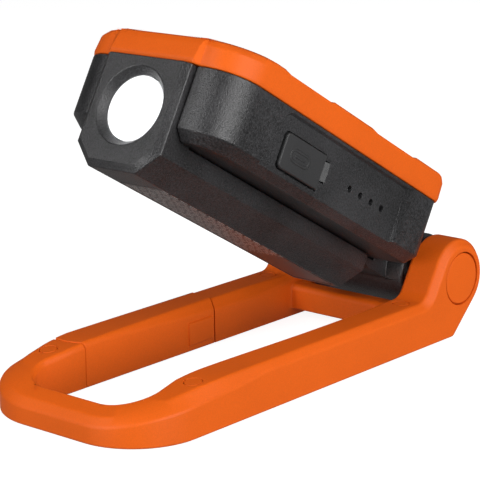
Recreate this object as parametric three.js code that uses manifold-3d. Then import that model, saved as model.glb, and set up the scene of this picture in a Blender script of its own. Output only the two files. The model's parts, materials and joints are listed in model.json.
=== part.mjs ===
// A folding inspection work light: a flat lamp head with a torch in its end, hinged to a loop-shaped
// stand that is also its hook. The right arm of the loop has a sprung gate that swings outwards.
//
// Millimetres, +Z up, the stand lying on the floor. Everything is drawn with the hinge axis at x = 0
// and the closed end of the loop towards +X, and the whole object is moved along X at the end so
// that the middle of its box is over the origin. Head parts are drawn with the head folded flat and
// the hinge axis at the origin, then tilted as one group.

import * as THREE from 'three';
import { mergeVertices } from 'three/addons/utils/BufferGeometryUtils.js';
import Module from 'manifold-3d';

const wasm = await Module();
wasm.setup();

// ---- driving dimensions ------------------------------------------------------------------------

const GAP = 0.3;                        // clearance between pieces that touch
const HEAD_TILT = THREE.MathUtils.degToRad(30);

const STAND_HALF_WIDTH = 31.5;
const ARM_INNER = 19;                   // half the width of the loop's opening
const ARM_HEIGHT = 12.9;
const ARM_CHAMFER = 2;                  // wider at the closed end, see outerDrop and outerWidth
const INNER_CHAMFER = 3;                // at the hinge end, narrower towards the closed end
const SOLE_CHAMFER = 0.5;
const ARM_START = 12;                   // the arms begin inside the lugs
const ARM_MIDDLE = (STAND_HALF_WIDTH + ARM_INNER) / 2;
const LOOP_REACH = 136.5;               // hinge axis to the outside of the loop's closed end
const LOOP_OPENING_REACH = LOOP_REACH - 8;
const LOOP_CORNER = 20;
const OPENING_CORNER = 10;
const LOOP_SWELL = 1;                   // the opening is a little wider at the closed end
const TOP_BEND_START = 100;             // past here the arms' top curves down to the closed end
const TOP_BEND_SLOPE = 0.35;            // slope that it reaches at the closed end

const HINGE_HEIGHT = 16.8;
const LUG_RADIUS = 11.5;
const LUG_FRONT_ANGLE = THREE.MathUtils.degToRad(58);
const HEEL_ANGLE = THREE.MathUtils.degToRad(43);
const CAP_RADIUS = 7.8;
const CAP_THICKNESS = 1.6;

const GATE_START = 50;                  // latch end of the gap in the right arm
const GATE_END = 107;                   // pivot end
const GATE_SLANT = 2;                   // the gate is this much shorter on its inner side at each end
const GATE_MIDDLE = -24;                // where the slant of the gate's ends begins
const GATE_PIVOT = { x: 108.6, y: -28.6 };
const GATE_SWING = THREE.MathUtils.degToRad(30);
const LATCH_GAP = 0.5;
const GATE_PROUD = 0.3;                 // how far the gate's top stands above the arm's

const THUMB_PAD = { start: 53, end: 63.5, bottom: 1.8, top: 8.6, rise: 0.45 };
const TONGUE = { bottom: 4.6, top: 8.4, eye: 2, neck: 1.5 };
const PIN_RADIUS = 1;
const GATE_PIN = { bottom: 0.5, top: 9.6 };

const AXLE_RADIUS = 2.5;
const BOLT_HEAD_RADIUS = 4.5;
const BOLT_HEAD_HEIGHT = 3.6;
const BOLT_SEAT = 25.5;                 // how far out the bolt head and the nut sit
const HEX_SOCKET = { radius: 2, depth: 1.8 };
const WASHER_RADIUS = 7;
const CROSSBAR = { back: 10.5, front: 17.2, bottom: 2.5, top: 10 };

const MAGNET_RADIUS = 2.5;
const MAGNET = { bottom: 0.8, top: 3.8 };
const MAGNET_PLACES = [[21, 1], [21, -1], [110, 1], [113, -1]];  // the last one clears the gate's pin

const HEAD_HALF_WIDTH = 28;
const HEAD_START = 16.5;                // hinge axis to the housing's hinge end
const HEAD_END = 119.5;
const HEAD_CORNER = 11;
const HINGE_CORNER = 5.5;
const WALL = 2.4;
const FLOOR_LEVEL = -3.2;               // underside of the housing, measured from the hinge axis
const SEAM_LEVEL = 16.6;                // joint between housing and bezel
const BEZEL_TOP = 25;
const HOUSING_CHAMFER = 3;
const BEZEL_OVERHANG = 0.4;             // how far the bezel stands out past the housing

const SPINE_HALF_WIDTH = 14.86;
const SPINE_FOOT_HALF_WIDTH = 8.32;
const SPINE_BOTTOM = -14.66;
const SPINE_SHOULDER = -8.63;
const SPINE_WALL = 1.8;
const SPINE_START = 21.5;
const TORCH_BLOCK_START = 112;
const TORCH_FACE = 122.7;
const TORCH_BEVEL = 1.4;
const TORCH_LEVEL = 2.8;                // height of the torch's axis
const TORCH_BORE = 9.3;
const TORCH_MOUTH = 11;                 // radius at the face, narrowing to the bore
const TORCH_MOUTH_DEPTH = 2.2;

const KNUCKLE_RADIUS = 11.2;
const KNUCKLE_HALF_WIDTH = 17.9;

const CELL_RADIUS = 9.2;
const CELL_LENGTH = 65;
const CELL_START = 31.5;
const CELL_LEVEL = -3.2;

const FLAP = { start: 73.3, end: 91.9, bottom: 0.9, top: 10.8 };
const FLAP_PIVOT_X = 72;
const FLAP_STRAP = { bottom: 3.8, top: 9.3 };
const PANEL_DEPTH = 0.6;
const PORT_LEVEL = 5.8;
const PORT_MIDDLE = 83.5;
const PORT = { halfLength: 4.9, halfHeight: 2 };
const PORT_POCKET = 26.4;               // how far out the floor of the flap's pocket is
const PIP_PLACES = [0, 1, 2, 3].map((i) => 42.6 + 5.45 * i);
const PIP_LEVEL = 6.3;

const SCREW_PLACES = [[30, 11.4], [30, -11.4], [104.5, 11.4], [104.5, -11.4]];
const SPINE_SCREW_PLACES = [26.5, 101];
const LABEL = { start: 27, end: 110, halfWidth: 7.2, depth: 0.35 };
const WINDOW = { start: 34, end: 104, halfWidth: 20.5, bottom: 22, top: 24.4 };
const LEDGE = 2;
const BUTTON = { start: 20, end: 28, halfWidth: 8, flange: 1.2 };
const RIM_RECESSES = [[35, 55], [78, 98]];
const RIM_SLOPE = { start: 104, low: 24.2 };
const NOSE_SLANT = 1.6;
const LAMP = { start: 38, end: 100, halfWidth: 17 };

// ---- colours and finishes ----------------------------------------------------------------------

const finish = (color, roughness, metalness = 0) =>
  new THREE.MeshStandardMaterial({ color, roughness, metalness });

const orangePlastic = finish(0xe8621c, 0.5);
const blackPlastic = finish(0x1d1d1f, 0.45);
const blackRubber = finish(0x18181a, 0.7);
const clearPlastic = finish(0xe9edf0, 0.08);
const steel = finish(0xb9bcc0, 0.3, 1);
const aluminium = finish(0xc8cacc, 0.35, 1);
const mirror = finish(0xf2f3f4, 0.06, 1);
const whiteBoard = finish(0xf1f1ec, 0.5);
const greenBoard = finish(0x1f5a38, 0.5);
const phosphor = finish(0xf0d060, 0.6);
const cellWrap = finish(0x2c5fa8, 0.4);
const labelFilm = finish(0x26272a, 0.55);

// ---- solids ------------------------------------------------------------------------------------

function solid(geometry) {
  const bare = geometry.clone();
  for (const name of ['normal', 'uv']) bare.deleteAttribute(name);
  const merged = mergeVertices(bare, 1e-4);
  return new wasm.Manifold(new wasm.Mesh({
    numProp: 3,
    vertProperties: new Float32Array(merged.attributes.position.array),
    triVerts: new Uint32Array(merged.index.array),
  }));
}

function surface(manifold) {
  const mesh = manifold.getMesh();
  const geometry = new THREE.BufferGeometry();
  geometry.setAttribute('position', new THREE.BufferAttribute(new Float32Array(mesh.vertProperties), 3));
  geometry.setIndex(new THREE.BufferAttribute(new Uint32Array(mesh.triVerts), 1));
  geometry.computeVertexNormals();
  return geometry;
}

function block([x0, x1], [y0, y1], [z0, z1]) {
  const geometry = new THREE.BoxGeometry(x1 - x0, y1 - y0, z1 - z0);
  return solid(geometry.translate((x0 + x1) / 2, (y0 + y1) / 2, (z0 + z1) / 2));
}

// A round bar or cone along one axis, from one end to the other.
function bar(axis, radius, [from, to], [a, b], segments = 20, endRadius = radius) {
  const geometry = new THREE.CylinderGeometry(endRadius, radius, to - from, segments);
  const middle = (from + to) / 2;
  if (axis === 'y') geometry.translate(a, middle, b);
  if (axis === 'z') geometry.rotateX(Math.PI / 2).translate(a, b, middle);
  if (axis === 'x') geometry.rotateZ(-Math.PI / 2).translate(middle, a, b);
  return solid(geometry);
}

// A flat outline stood up from one height to another, with its edges bevelled if asked.
function raised(shape, [z0, z1], bevel = 0, rise = bevel, steps = 1) {
  const geometry = new THREE.ExtrudeGeometry(shape, {
    depth: z1 - z0 - 2 * rise,
    bevelEnabled: bevel > 0,
    bevelSize: bevel,
    bevelOffset: -bevel,
    bevelThickness: rise,
    bevelSegments: steps,
    curveSegments: 6,
  });
  return geometry.translate(0, 0, z0 + rise);
}

// A side view, drawn as (x, z), given its width from y0 to y1.
function sideways(shape, [y0, y1], bevel = 0, segments = 10) {
  const geometry = new THREE.ExtrudeGeometry(shape, {
    depth: y1 - y0 - 2 * bevel,
    bevelEnabled: bevel > 0,
    bevelSize: bevel,
    bevelOffset: -bevel,
    bevelThickness: bevel,
    bevelSegments: 1,
    curveSegments: segments,
  });
  return solid(geometry.rotateX(Math.PI / 2).translate(0, y1 - bevel, 0));
}

// A front view, drawn as (y, z), given its length from x0 to x1.
function lengthways(shape, [x0, x1], bevel = 0, rise = bevel) {
  const geometry = new THREE.ExtrudeGeometry(shape, {
    depth: x1 - x0 - 2 * rise,
    bevelEnabled: bevel > 0,
    bevelSize: bevel,
    bevelOffset: -bevel,
    bevelThickness: rise,
    bevelSegments: 1,
    curveSegments: 6,
  });
  const turn = new THREE.Matrix4().makeBasis(
    new THREE.Vector3(0, 1, 0), new THREE.Vector3(0, 0, 1), new THREE.Vector3(1, 0, 0));
  return solid(geometry.applyMatrix4(turn).translate(x0 + rise, 0, 0));
}

const outline = (points) => new THREE.Shape(points.map(([x, y]) => new THREE.Vector2(x, y)));

function arcPoints([cx, cy], radius, from, to, steps) {
  return Array.from({ length: steps + 1 }, (_, i) => {
    const angle = from + (to - from) * i / steps;
    return [cx + radius * Math.cos(angle), cy + radius * Math.sin(angle)];
  });
}

// A rectangle with its own corner radius at each end of X.
function plate(x0, x1, halfWidth, cornerLow, cornerHigh = cornerLow, middle = 0) {
  const high = halfWidth - cornerHigh;
  const low = halfWidth - cornerLow;
  const quarter = Math.PI / 2;
  return outline([
    ...arcPoints([x1 - cornerHigh, middle - high], cornerHigh, -quarter, 0, 6),
    ...arcPoints([x1 - cornerHigh, middle + high], cornerHigh, 0, quarter, 6),
    ...arcPoints([x0 + cornerLow, middle + low], cornerLow, quarter, 2 * quarter, 4),
    ...arcPoints([x0 + cornerLow, middle - low], cornerLow, 2 * quarter, 3 * quarter, 4),
  ]);
}

const BIG = 400;                        // a size past every face, for cutting away a whole side
const THROUGH = [-BIG / 2, BIG / 2];    // levels that pass right through every piece
const above = (z) => block([-BIG, BIG], [-BIG, BIG], [z, BIG]);
const below = (z) => block([-BIG, BIG], [-BIG, BIG], [-BIG, z]);

function mesh(name, shape, material) {
  const geometry = shape.isBufferGeometry ? shape : surface(shape);
  const piece = new THREE.Mesh(geometry, material);
  piece.name = name;
  return piece;
}

// ---- the stand ---------------------------------------------------------------------------------

// A smooth step from 0 to 1 between two places.
const blend = THREE.MathUtils.smoothstep;

// The height of the arms' top at a distance from the hinge.
function armTop(x) {
  const past = Math.max(0, x - TOP_BEND_START);
  return ARM_HEIGHT - TOP_BEND_SLOPE * past * past / (2 * (LOOP_REACH - TOP_BEND_START));
}

// How far the outer chamfer runs down the side, and how far in over the top.
const outerDrop = (x) => ARM_CHAMFER + 1.4 * blend(x, 84, 104) - 1.9 * blend(x, 108, 134);
const outerWidth = (x) => ARM_CHAMFER + 2.2 * blend(x, 104, 122) - 2 * blend(x, 126, LOOP_REACH);

// How far the inner chamfer runs down the side. It runs in over the top by three quarters of that.
const innerDrop = (x) => INNER_CHAMFER - 1.8 * blend(x, GATE_START, 105);

// A closed solid through matching convex sections, each a ring of [x, y, z] points.
function loft(sections) {
  const count = sections[0].length;
  const index = [];
  for (let s = 0; s + 1 < sections.length; s += 1) {
    for (let i = 0; i < count; i += 1) {
      const [a, b] = [s * count + i, s * count + (i + 1) % count];
      index.push(a, a + count, b + count, a, b + count, b);
    }
  }
  const last = (sections.length - 1) * count;
  for (let i = 1; i + 1 < count; i += 1) {
    index.push(0, i, i + 1, last, last + i + 1, last + i);
  }
  const geometry = new THREE.BufferGeometry();
  geometry.setAttribute('position', new THREE.Float32BufferAttribute(sections.flat(2), 3));
  geometry.setIndex(index);
  return geometry;
}

// The arm's section between an outer and an inner line seen from above. Each line is a function
// that gives the point standing in from the arm's side by some distance.
function armSection(outer, inner, extra = 0) {
  const [outerX, outerY] = outer(0);
  const [innerX, innerY] = inner(0);
  const topOuter = outer(outerWidth(outerX));
  const topInner = inner(innerDrop(innerX) * 0.75);
  return [
    [...outer(SOLE_CHAMFER), 0],
    [outerX, outerY, SOLE_CHAMFER],
    [outerX, outerY, armTop(outerX) - outerDrop(outerX) + extra],
    [...topOuter, armTop(topOuter[0]) + extra],
    [...topInner, armTop(topInner[0]) + extra],
    [innerX, innerY, armTop(innerX) - innerDrop(innerX) + extra],
    [innerX, innerY, SOLE_CHAMFER],
    [...inner(SOLE_CHAMFER), 0],
  ];
}

function straightSection(x, side, extra) {
  const outer = (inset) => [x, side * (STAND_HALF_WIDTH - inset)];
  const inner = (inset) => [x, side * (ARM_INNER + inset)];
  return armSection(outer, inner, extra);
}

// The section at an angle round the corner between an arm and the closed end.
function cornerSection(angle, side) {
  const around = (reach, halfWidth, radius) => [
    reach - radius + radius * Math.cos(angle),
    side * (halfWidth - radius + radius * Math.sin(angle)),
  ];
  const outer = (inset) =>
    around(LOOP_REACH - inset, STAND_HALF_WIDTH - inset, LOOP_CORNER - inset);
  const inner = (inset) =>
    around(LOOP_OPENING_REACH + inset, ARM_INNER + LOOP_SWELL + inset, OPENING_CORNER + inset);
  return armSection(outer, inner);
}

function halfLoop(side) {
  const steps = 8;
  const straight = [ARM_START, GATE_START, 84, 94, TOP_BEND_START, 104, 108, 112].map((x) =>
    straightSection(x, side, 0));
  const corner = Array.from({ length: steps + 1 }, (_, i) =>
    cornerSection(Math.PI / 2 * (1 - i / steps), side));
  return [...straight, ...corner];
}

function loopArms() {
  return solid(loft([...halfLoop(-1), ...halfLoop(1).reverse()]));
}

// The raised lug at the hinge end of an arm, with its heel cut up from the floor.
function lug(side) {
  const up = Math.PI / 2;
  const front = up - LUG_FRONT_ANGLE;
  const back = Math.PI + (up - HEEL_ANGLE);
  const arc = arcPoints([0, HINGE_HEIGHT], LUG_RADIUS, front, back, 18);
  const [frontX, frontZ] = arc[0];
  const [backX, backZ] = arc.at(-1);
  const sink = -3;                      // the outline runs below the floor and is cut off at it
  const rootZ = 6;
  const profile = outline([
    ...arc,
    [backX + (backZ - sink) / Math.tan(HEEL_ANGLE), sink],
    [frontX + (frontZ - rootZ) / Math.tan(LUG_FRONT_ANGLE), sink],
    [frontX + (frontZ - rootZ) / Math.tan(LUG_FRONT_ANGLE), rootZ],
  ]);
  const inner = side * ARM_INNER;
  const outer = side * STAND_HALF_WIDTH;
  const lugSolid = sideways(profile, [Math.min(inner, outer), Math.max(inner, outer)], ARM_CHAMFER);
  return lugSolid.subtract(below(0));
}

function crossbar() {
  const { back, front, bottom, top } = CROSSBAR;
  const soft = 1.2;
  const profile = outline([
    [back, bottom], [front, bottom], [front, top - soft], [front - soft, top], [back + soft, top],
    [back, top - soft],
  ]);
  return sideways(profile, [-ARM_INNER - 1, ARM_INNER + 1]);
}

// The gap for the gate, seen from above, or the gate's own outline when drawn in by a clearance.
function gateOutline(latchGap = 0, pivotGap = 0) {
  const start = GATE_START + latchGap;
  const end = GATE_END - pivotGap;
  return outline([
    [start, -BIG], [end, -BIG], [end, GATE_MIDDLE], [end - GATE_SLANT, -ARM_INNER],
    [end - GATE_SLANT, -10], [start + GATE_SLANT, -10], [start + GATE_SLANT, -ARM_INNER],
    [start, GATE_MIDDLE],
  ]);
}

// The room for the gate's tongue, open to the outside so that the tongue can swing.
function gatePocket() {
  const { x, y } = GATE_PIVOT;
  const reach = TONGUE.eye + GAP;
  const levels = [TONGUE.bottom - 1.4, TONGUE.top + GAP];
  return bar('z', reach, levels, [x, y], 20)
    .add(block([GATE_END - 2, x], [-BIG, y + reach], levels));
}

function magnetPlace([x, side]) {
  return [x, side * (ARM_MIDDLE - 0.3)];
}

function standFrame() {
  let frame = loopArms().add(lug(1)).add(lug(-1)).add(crossbar());
  frame = frame.subtract(solid(raised(gateOutline(), THROUGH))).subtract(gatePocket());
  const pinHole = [-1, GATE_PIN.top + GAP];
  frame = frame.subtract(bar('z', PIN_RADIUS + 0.15, pinHole, [GATE_PIVOT.x, GATE_PIVOT.y], 16));
  for (const place of MAGNET_PLACES) {
    frame = frame.subtract(bar('z', MAGNET_RADIUS + GAP, [MAGNET.bottom - GAP, BIG / 2],
      magnetPlace(place), 20));
  }
  const axis = [0, HINGE_HEIGHT];
  frame = frame.subtract(bar('y', AXLE_RADIUS + GAP, [-BIG, BIG], axis, 20));
  for (const side of [-1, 1]) {
    const seat = STAND_HALF_WIDTH - CAP_THICKNESS;
    frame = frame.subtract(bar('y', CAP_RADIUS + GAP, ends(side, seat - GAP, BIG), axis, 32));
    frame = frame.subtract(bar('y', BOLT_HEAD_RADIUS + 0.5, ends(side, BOLT_SEAT, BIG), axis, 20));
  }
  return frame;
}

// From and to along Y on one side of the middle, in rising order.
function ends(side, near, far) {
  return side > 0 ? [near, far] : [-far, -near];
}

function magnetPlug(place) {
  const [x, y] = magnetPlace(place);
  const top = armTop(x + MAGNET_RADIUS) - 0.05;
  return bar('z', MAGNET_RADIUS, [MAGNET.top + GAP, top], [x, y], 24);
}

// ---- the hinge ---------------------------------------------------------------------------------

function hingeBolt() {
  const axis = [0, HINGE_HEIGHT];
  const socket = bar('y', HEX_SOCKET.radius,
    ends(1, BOLT_SEAT + BOLT_HEAD_HEIGHT - HEX_SOCKET.depth, BIG), axis, 6);
  return bar('y', AXLE_RADIUS, [-BOLT_SEAT - BOLT_HEAD_HEIGHT + 0.4, BOLT_SEAT + 1], axis, 20)
    .add(bar('y', BOLT_HEAD_RADIUS, ends(1, BOLT_SEAT + GAP, BOLT_SEAT + BOLT_HEAD_HEIGHT), axis, 24))
    .subtract(socket);
}

function hingeNut() {
  const axis = [0, HINGE_HEIGHT];
  return bar('y', BOLT_HEAD_RADIUS, ends(-1, BOLT_SEAT + GAP, BOLT_SEAT + 3), axis, 6)
    .subtract(bar('y', AXLE_RADIUS + GAP, THROUGH, axis, 20));
}

function frictionWasher(side) {
  const axis = [0, HINGE_HEIGHT];
  const span = ends(side, KNUCKLE_HALF_WIDTH + 0.2, ARM_INNER - 0.2);
  return bar('y', WASHER_RADIUS, span, axis, 24)
    .subtract(bar('y', AXLE_RADIUS + GAP, THROUGH, axis, 20));
}

function hingeCap(side) {
  const span = ends(side, STAND_HALF_WIDTH - CAP_THICKNESS, STAND_HALF_WIDTH);
  return bar('y', CAP_RADIUS, span, [0, HINGE_HEIGHT], 32);
}

// ---- the gate ----------------------------------------------------------------------------------

// The outer corner at the pivot end is cut back, so that it clears the arm when the gate is open.
function gateLever() {
  const { x, y } = GATE_PIVOT;
  const end = GATE_END - GAP;
  const stations = [GATE_START, 84, 94, TOP_BEND_START, GATE_END];
  const whole = solid(loft(stations.map((place) => straightSection(place, -1, GATE_PROUD))));
  const outside = STAND_HALF_WIDTH + y;
  const reach = outside * Math.tan(GATE_SWING) + (x - GATE_END + GAP) / Math.cos(GATE_SWING);
  const corner = outline([
    [end + 1, y], [end, y], [x - reach - GAP, -STAND_HALF_WIDTH], [x - reach - GAP, -BIG],
    [end + 1, -BIG],
  ]);
  const levels = [TONGUE.bottom, TONGUE.top];
  const thumbPad = block([THUMB_PAD.start, THUMB_PAD.end], [-ARM_INNER - 1, -ARM_INNER + THUMB_PAD.rise],
    [THUMB_PAD.bottom, THUMB_PAD.top]);
  return whole
    .intersect(solid(raised(gateOutline(LATCH_GAP, GAP), THROUGH)))
    .subtract(solid(raised(corner, THROUGH)))
    .add(thumbPad)
    .add(block([end - 5, x], [y - TONGUE.neck, y + TONGUE.neck], levels))
    .add(bar('z', TONGUE.eye, levels, [x, y], 20))
    .subtract(bar('z', PIN_RADIUS + 0.2, THROUGH, [x, y], 16));
}

function gatePin() {
  return bar('z', PIN_RADIUS, [GATE_PIN.bottom, GATE_PIN.top], [GATE_PIVOT.x, GATE_PIVOT.y], 16);
}

function gateSpring() {
  const { x, y } = GATE_PIVOT;
  const levels = [TONGUE.bottom - 1.2, TONGUE.bottom - 0.2];
  return bar('z', 1.6, levels, [x, y], 20)
    .subtract(bar('z', PIN_RADIUS + GAP, THROUGH, [x, y], 16));
}

// ---- the head's shells -------------------------------------------------------------------------

// Walls with rounded corners and a chamfer round the bottom; the outside, or the hollow inside it.
function housingBlank(inset, bottom) {
  const chamfer = HOUSING_CHAMFER - inset / 2;
  const shape = plate(HEAD_START + inset, HEAD_END - inset, HEAD_HALF_WIDTH - inset,
    HINGE_CORNER - inset, HEAD_CORNER - inset);
  return solid(raised(shape, [bottom, BIG / 2], chamfer, chamfer));
}

// The shallow sunk panel on each side of the housing, with a slanted end towards the torch.
function sidePanel(side) {
  const profile = outline([
    [33.6, -8], [33.6, 15.4], [92, 15.4], [94.6, 14.6], [96, 12.6], [102, -8],
  ]);
  return sideways(profile, ends(side, HEAD_HALF_WIDTH - PANEL_DEPTH, BIG));
}

function housingShell() {
  let shell = housingBlank(0, FLOOR_LEVEL).subtract(above(SEAM_LEVEL - GAP));
  shell = shell.subtract(housingBlank(WALL, FLOOR_LEVEL + 2));
  shell = shell.subtract(sidePanel(1)).subtract(sidePanel(-1));
  const notch = SPINE_HALF_WIDTH + GAP;
  shell = shell.subtract(block([TORCH_BLOCK_START - GAP, BIG], [-notch, notch], [-BIG, BIG]));
  const cellRoom = CELL_RADIUS + 0.5;
  shell = shell.subtract(block([28, 115], [-cellRoom, cellRoom], [-10, 0]));
  const pocket = [FLAP.start - 2.8, FLAP.end + 0.5];
  shell = shell.subtract(block(pocket, [PORT_POCKET, BIG], [FLAP.bottom - GAP, FLAP.top + GAP]));
  shell = shell.subtract(block(
    [PORT_MIDDLE - PORT.halfLength, PORT_MIDDLE + PORT.halfLength], [HEAD_HALF_WIDTH - 8, BIG],
    [PORT_LEVEL - PORT.halfHeight, PORT_LEVEL + PORT.halfHeight]));
  for (const x of PIP_PLACES) {
    shell = shell.subtract(bar('y', 0.95, [HEAD_HALF_WIDTH - 8, BIG], [x, PIP_LEVEL], 12));
  }
  for (const [x, y] of [...SCREW_PLACES, [SPINE_SCREW_PLACES[0], 0]]) {
    shell = shell.subtract(bar('z', 1.2, [-10, 0], [x, y], 12));
  }
  return shell;
}

function spineOutline(inset, top) {
  const side = SPINE_HALF_WIDTH - inset;
  const foot = SPINE_FOOT_HALF_WIDTH - inset * 0.4;
  const shoulder = SPINE_SHOULDER + inset * 0.4;
  const bottom = SPINE_BOTTOM + inset;
  return outline([
    [side, top], [-side, top], [-side, shoulder], [-foot, bottom], [foot, bottom], [side, shoulder],
  ]);
}

function torchBlock() {
  const back = 2;                       // the bevel at the back is cut off, the one in front stays
  const shape = spineOutline(0, SEAM_LEVEL + 4);
  return lengthways(shape, [TORCH_BLOCK_START - back, TORCH_FACE], TORCH_BEVEL, back)
    .subtract(above(SEAM_LEVEL - GAP))
    .subtract(block([-BIG, TORCH_BLOCK_START], [-BIG, BIG], [-BIG, BIG]));
}

function knuckle() {
  const neckHalfWidth = 12;
  const neckBottom = -6.2;
  const underFloor = FLOOR_LEVEL - GAP;
  return bar('y', KNUCKLE_RADIUS, [-KNUCKLE_HALF_WIDTH, KNUCKLE_HALF_WIDTH], [0, 0], 32)
    .add(block([0, HEAD_START - 0.5], [-neckHalfWidth, neckHalfWidth], [neckBottom, 7]))
    .add(block([8, SPINE_START + 3], [-neckHalfWidth, neckHalfWidth], [neckBottom, underFloor]))
    .subtract(bar('y', AXLE_RADIUS + GAP, THROUGH, [0, 0], 20));
}

function spineCover() {
  const top = FLOOR_LEVEL - GAP;
  let cover = lengthways(spineOutline(0, top), [SPINE_START, TORCH_BLOCK_START + 2]);
  const trough = lengthways(spineOutline(SPINE_WALL, 0), [SPINE_START + 2.5, 108]);
  cover = cover.subtract(trough);
  for (const x of SPINE_SCREW_PLACES) {
    cover = cover.add(bar('z', 2.3, [SPINE_BOTTOM + 1, top], [x, 0], 16));
  }
  cover = cover.add(torchBlock());
  const axis = [0, TORCH_LEVEL];
  cover = cover.subtract(bar('x', TORCH_BORE, [103.5, TORCH_FACE + 1], axis, 32));
  const lip = TORCH_FACE - TORCH_MOUTH_DEPTH;
  cover = cover.subtract(bar('x', TORCH_BORE, [lip, TORCH_FACE + 0.01], axis, 32, TORCH_MOUTH));
  for (const x of SPINE_SCREW_PLACES) {
    cover = cover.subtract(bar('z', 1.1, THROUGH, [x, 0], 12));
    cover = cover.subtract(bar('z', 1.8, [-BIG, SPINE_BOTTOM + 2.6], [x, 0], 16));
  }
  const label = plate(LABEL.start - GAP, LABEL.end + GAP, LABEL.halfWidth + GAP, 1);
  cover = cover.subtract(solid(raised(label, [-BIG, SPINE_BOTTOM + LABEL.depth])));
  return cover.add(knuckle());
}

function labelPlate() {
  const shape = plate(LABEL.start, LABEL.end, LABEL.halfWidth, 1);
  return raised(shape, [SPINE_BOTTOM, SPINE_BOTTOM + LABEL.depth - 0.05]);
}

// ---- the bezel and the lamp window -------------------------------------------------------------

function bezelOutline() {
  const half = HEAD_HALF_WIDTH + BEZEL_OVERHANG;
  const start = HEAD_START - BEZEL_OVERHANG;
  const end = HEAD_END + BEZEL_OVERHANG;
  const quarter = Math.PI / 2;
  const big = HEAD_CORNER;
  const small = 5;
  const noseReach = TORCH_FACE - 1.2;
  const nose = SPINE_HALF_WIDTH - 0.2;
  return outline([
    ...arcPoints([end - big, -half + big], big, -quarter, 0, 7).slice(0, -1),
    [end, -nose - NOSE_SLANT], [noseReach, -nose], [noseReach, nose], [end, nose + NOSE_SLANT],
    ...arcPoints([end - big, half - big], big, 0, quarter, 7).slice(1),
    ...arcPoints([start + small, half - small], small, quarter, 2 * quarter, 4),
    ...arcPoints([start + small, -half + small], small, 2 * quarter, 3 * quarter, 4),
  ]);
}

// A dip in the rim's top edge between two raised pads.
function rimRecess([from, to], side) {
  const depth = 0.9;
  const ramp = 2;
  const profile = outline([
    [from - ramp, BEZEL_TOP + 1], [from - ramp, BEZEL_TOP], [from, BEZEL_TOP - depth],
    [to, BEZEL_TOP - depth], [to + ramp, BEZEL_TOP], [to + ramp, BEZEL_TOP + 1],
  ]);
  return sideways(profile, ends(side, WINDOW.halfWidth + 2.2, BIG));
}

// The wedge taken off the rim's top in front of the torch, where it slopes down to the nose.
function rimSlope() {
  const profile = outline([
    [RIM_SLOPE.start, BEZEL_TOP], [TORCH_FACE + 2, RIM_SLOPE.low], [TORCH_FACE + 2, BEZEL_TOP + 2],
    [RIM_SLOPE.start, BEZEL_TOP + 2],
  ]);
  return sideways(profile, THROUGH);
}

function bezelFrame() {
  let frame = solid(raised(bezelOutline(), [10, BEZEL_TOP], 1.6, 1.8, 2))
    .subtract(below(SEAM_LEVEL))
    .subtract(rimSlope());
  for (const side of [-1, 1]) {
    for (const span of RIM_RECESSES) frame = frame.subtract(rimRecess(span, side));
  }
  const { start, end, halfWidth, bottom } = WINDOW;
  const seat = plate(start - GAP, end + GAP, halfWidth + GAP, 4);
  frame = frame.subtract(solid(raised(seat, [bottom - GAP, BIG])));
  const through = plate(start + LEDGE, end - LEDGE, halfWidth - LEDGE, 3);
  frame = frame.subtract(solid(raised(through, THROUGH)));
  const hole = plate(BUTTON.start - GAP, BUTTON.end + GAP, BUTTON.halfWidth + GAP, 3.5);
  frame = frame.subtract(solid(raised(hole, THROUGH)));
  const { flange } = BUTTON;
  const room = [BUTTON.start - flange - 0.6, BUTTON.end + flange + 0.6];
  frame = frame.subtract(block(room, [-11, 11], [0, 22.4]));
  for (const [x, y] of SCREW_PLACES) {
    frame = frame.add(bar('z', 2.1, [FLOOR_LEVEL + 2 + GAP, SEAM_LEVEL + 1], [x, y], 16));
    frame = frame.subtract(bar('z', 1.05, [-5, 12], [x, y], 12));
  }
  return frame;
}

function frontWindow() {
  const shape = plate(WINDOW.start, WINDOW.end, WINDOW.halfWidth, 4 - GAP);
  return solid(raised(shape, [WINDOW.bottom, WINDOW.top], 0.4, 0.4));
}

function powerButton() {
  const cap = plate(BUTTON.start, BUTTON.end, BUTTON.halfWidth, 3.2);
  const { flange } = BUTTON;
  return solid(raised(cap, [20.8, BEZEL_TOP + 0.5], 0.6, 0.6))
    .add(block([BUTTON.start - flange, BUTTON.end + flange], [-9.5, 9.5], [20.4, 21.8]));
}

// ---- inside the head ---------------------------------------------------------------------------

function lampSheet(margin, [low, high]) {
  const { start, end, halfWidth } = LAMP;
  return raised(plate(start + margin, end - margin, halfWidth - margin, 2), [low, high]);
}

// The white tray round the light source, with sloped inner walls.
function reflectorTray() {
  const outer = solid(lampSheet(0, [17.9, 21.4]));
  const wide = solid(lampSheet(1.2, [18.8, 25]));
  return outer.subtract(wide).subtract(solid(lampSheet(5.4, [10, 30])));
}

function caseScrew([x, y]) {
  return screw(x, y, FLOOR_LEVEL - GAP, 7, 1.45, 0.85);
}

function spineScrew(x) {
  return screw(x, 0, SPINE_BOTTOM + 2.3, 12, 1.5, 0.85);
}

// A pan-head screw standing head down, its head just under the given level.
function screw(x, y, level, length, headRadius, shankRadius) {
  const head = 1.2;
  const slot = block([x - 1.1, x + 1.1], [y - 0.2, y + 0.2], [level - head - 1, level - head + 0.5]);
  return bar('z', headRadius, [level - head, level], [x, y], 16)
    .add(bar('z', shankRadius, [level - 0.1, level + length], [x, y], 12))
    .subtract(slot);
}

function cell() {
  const axis = [0, CELL_LEVEL];
  const end = CELL_START + CELL_LENGTH;
  return bar('x', CELL_RADIUS, [CELL_START, end - 1], axis, 28)
    .add(bar('x', 3, [end - 1.5, end], axis, 16));
}

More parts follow.
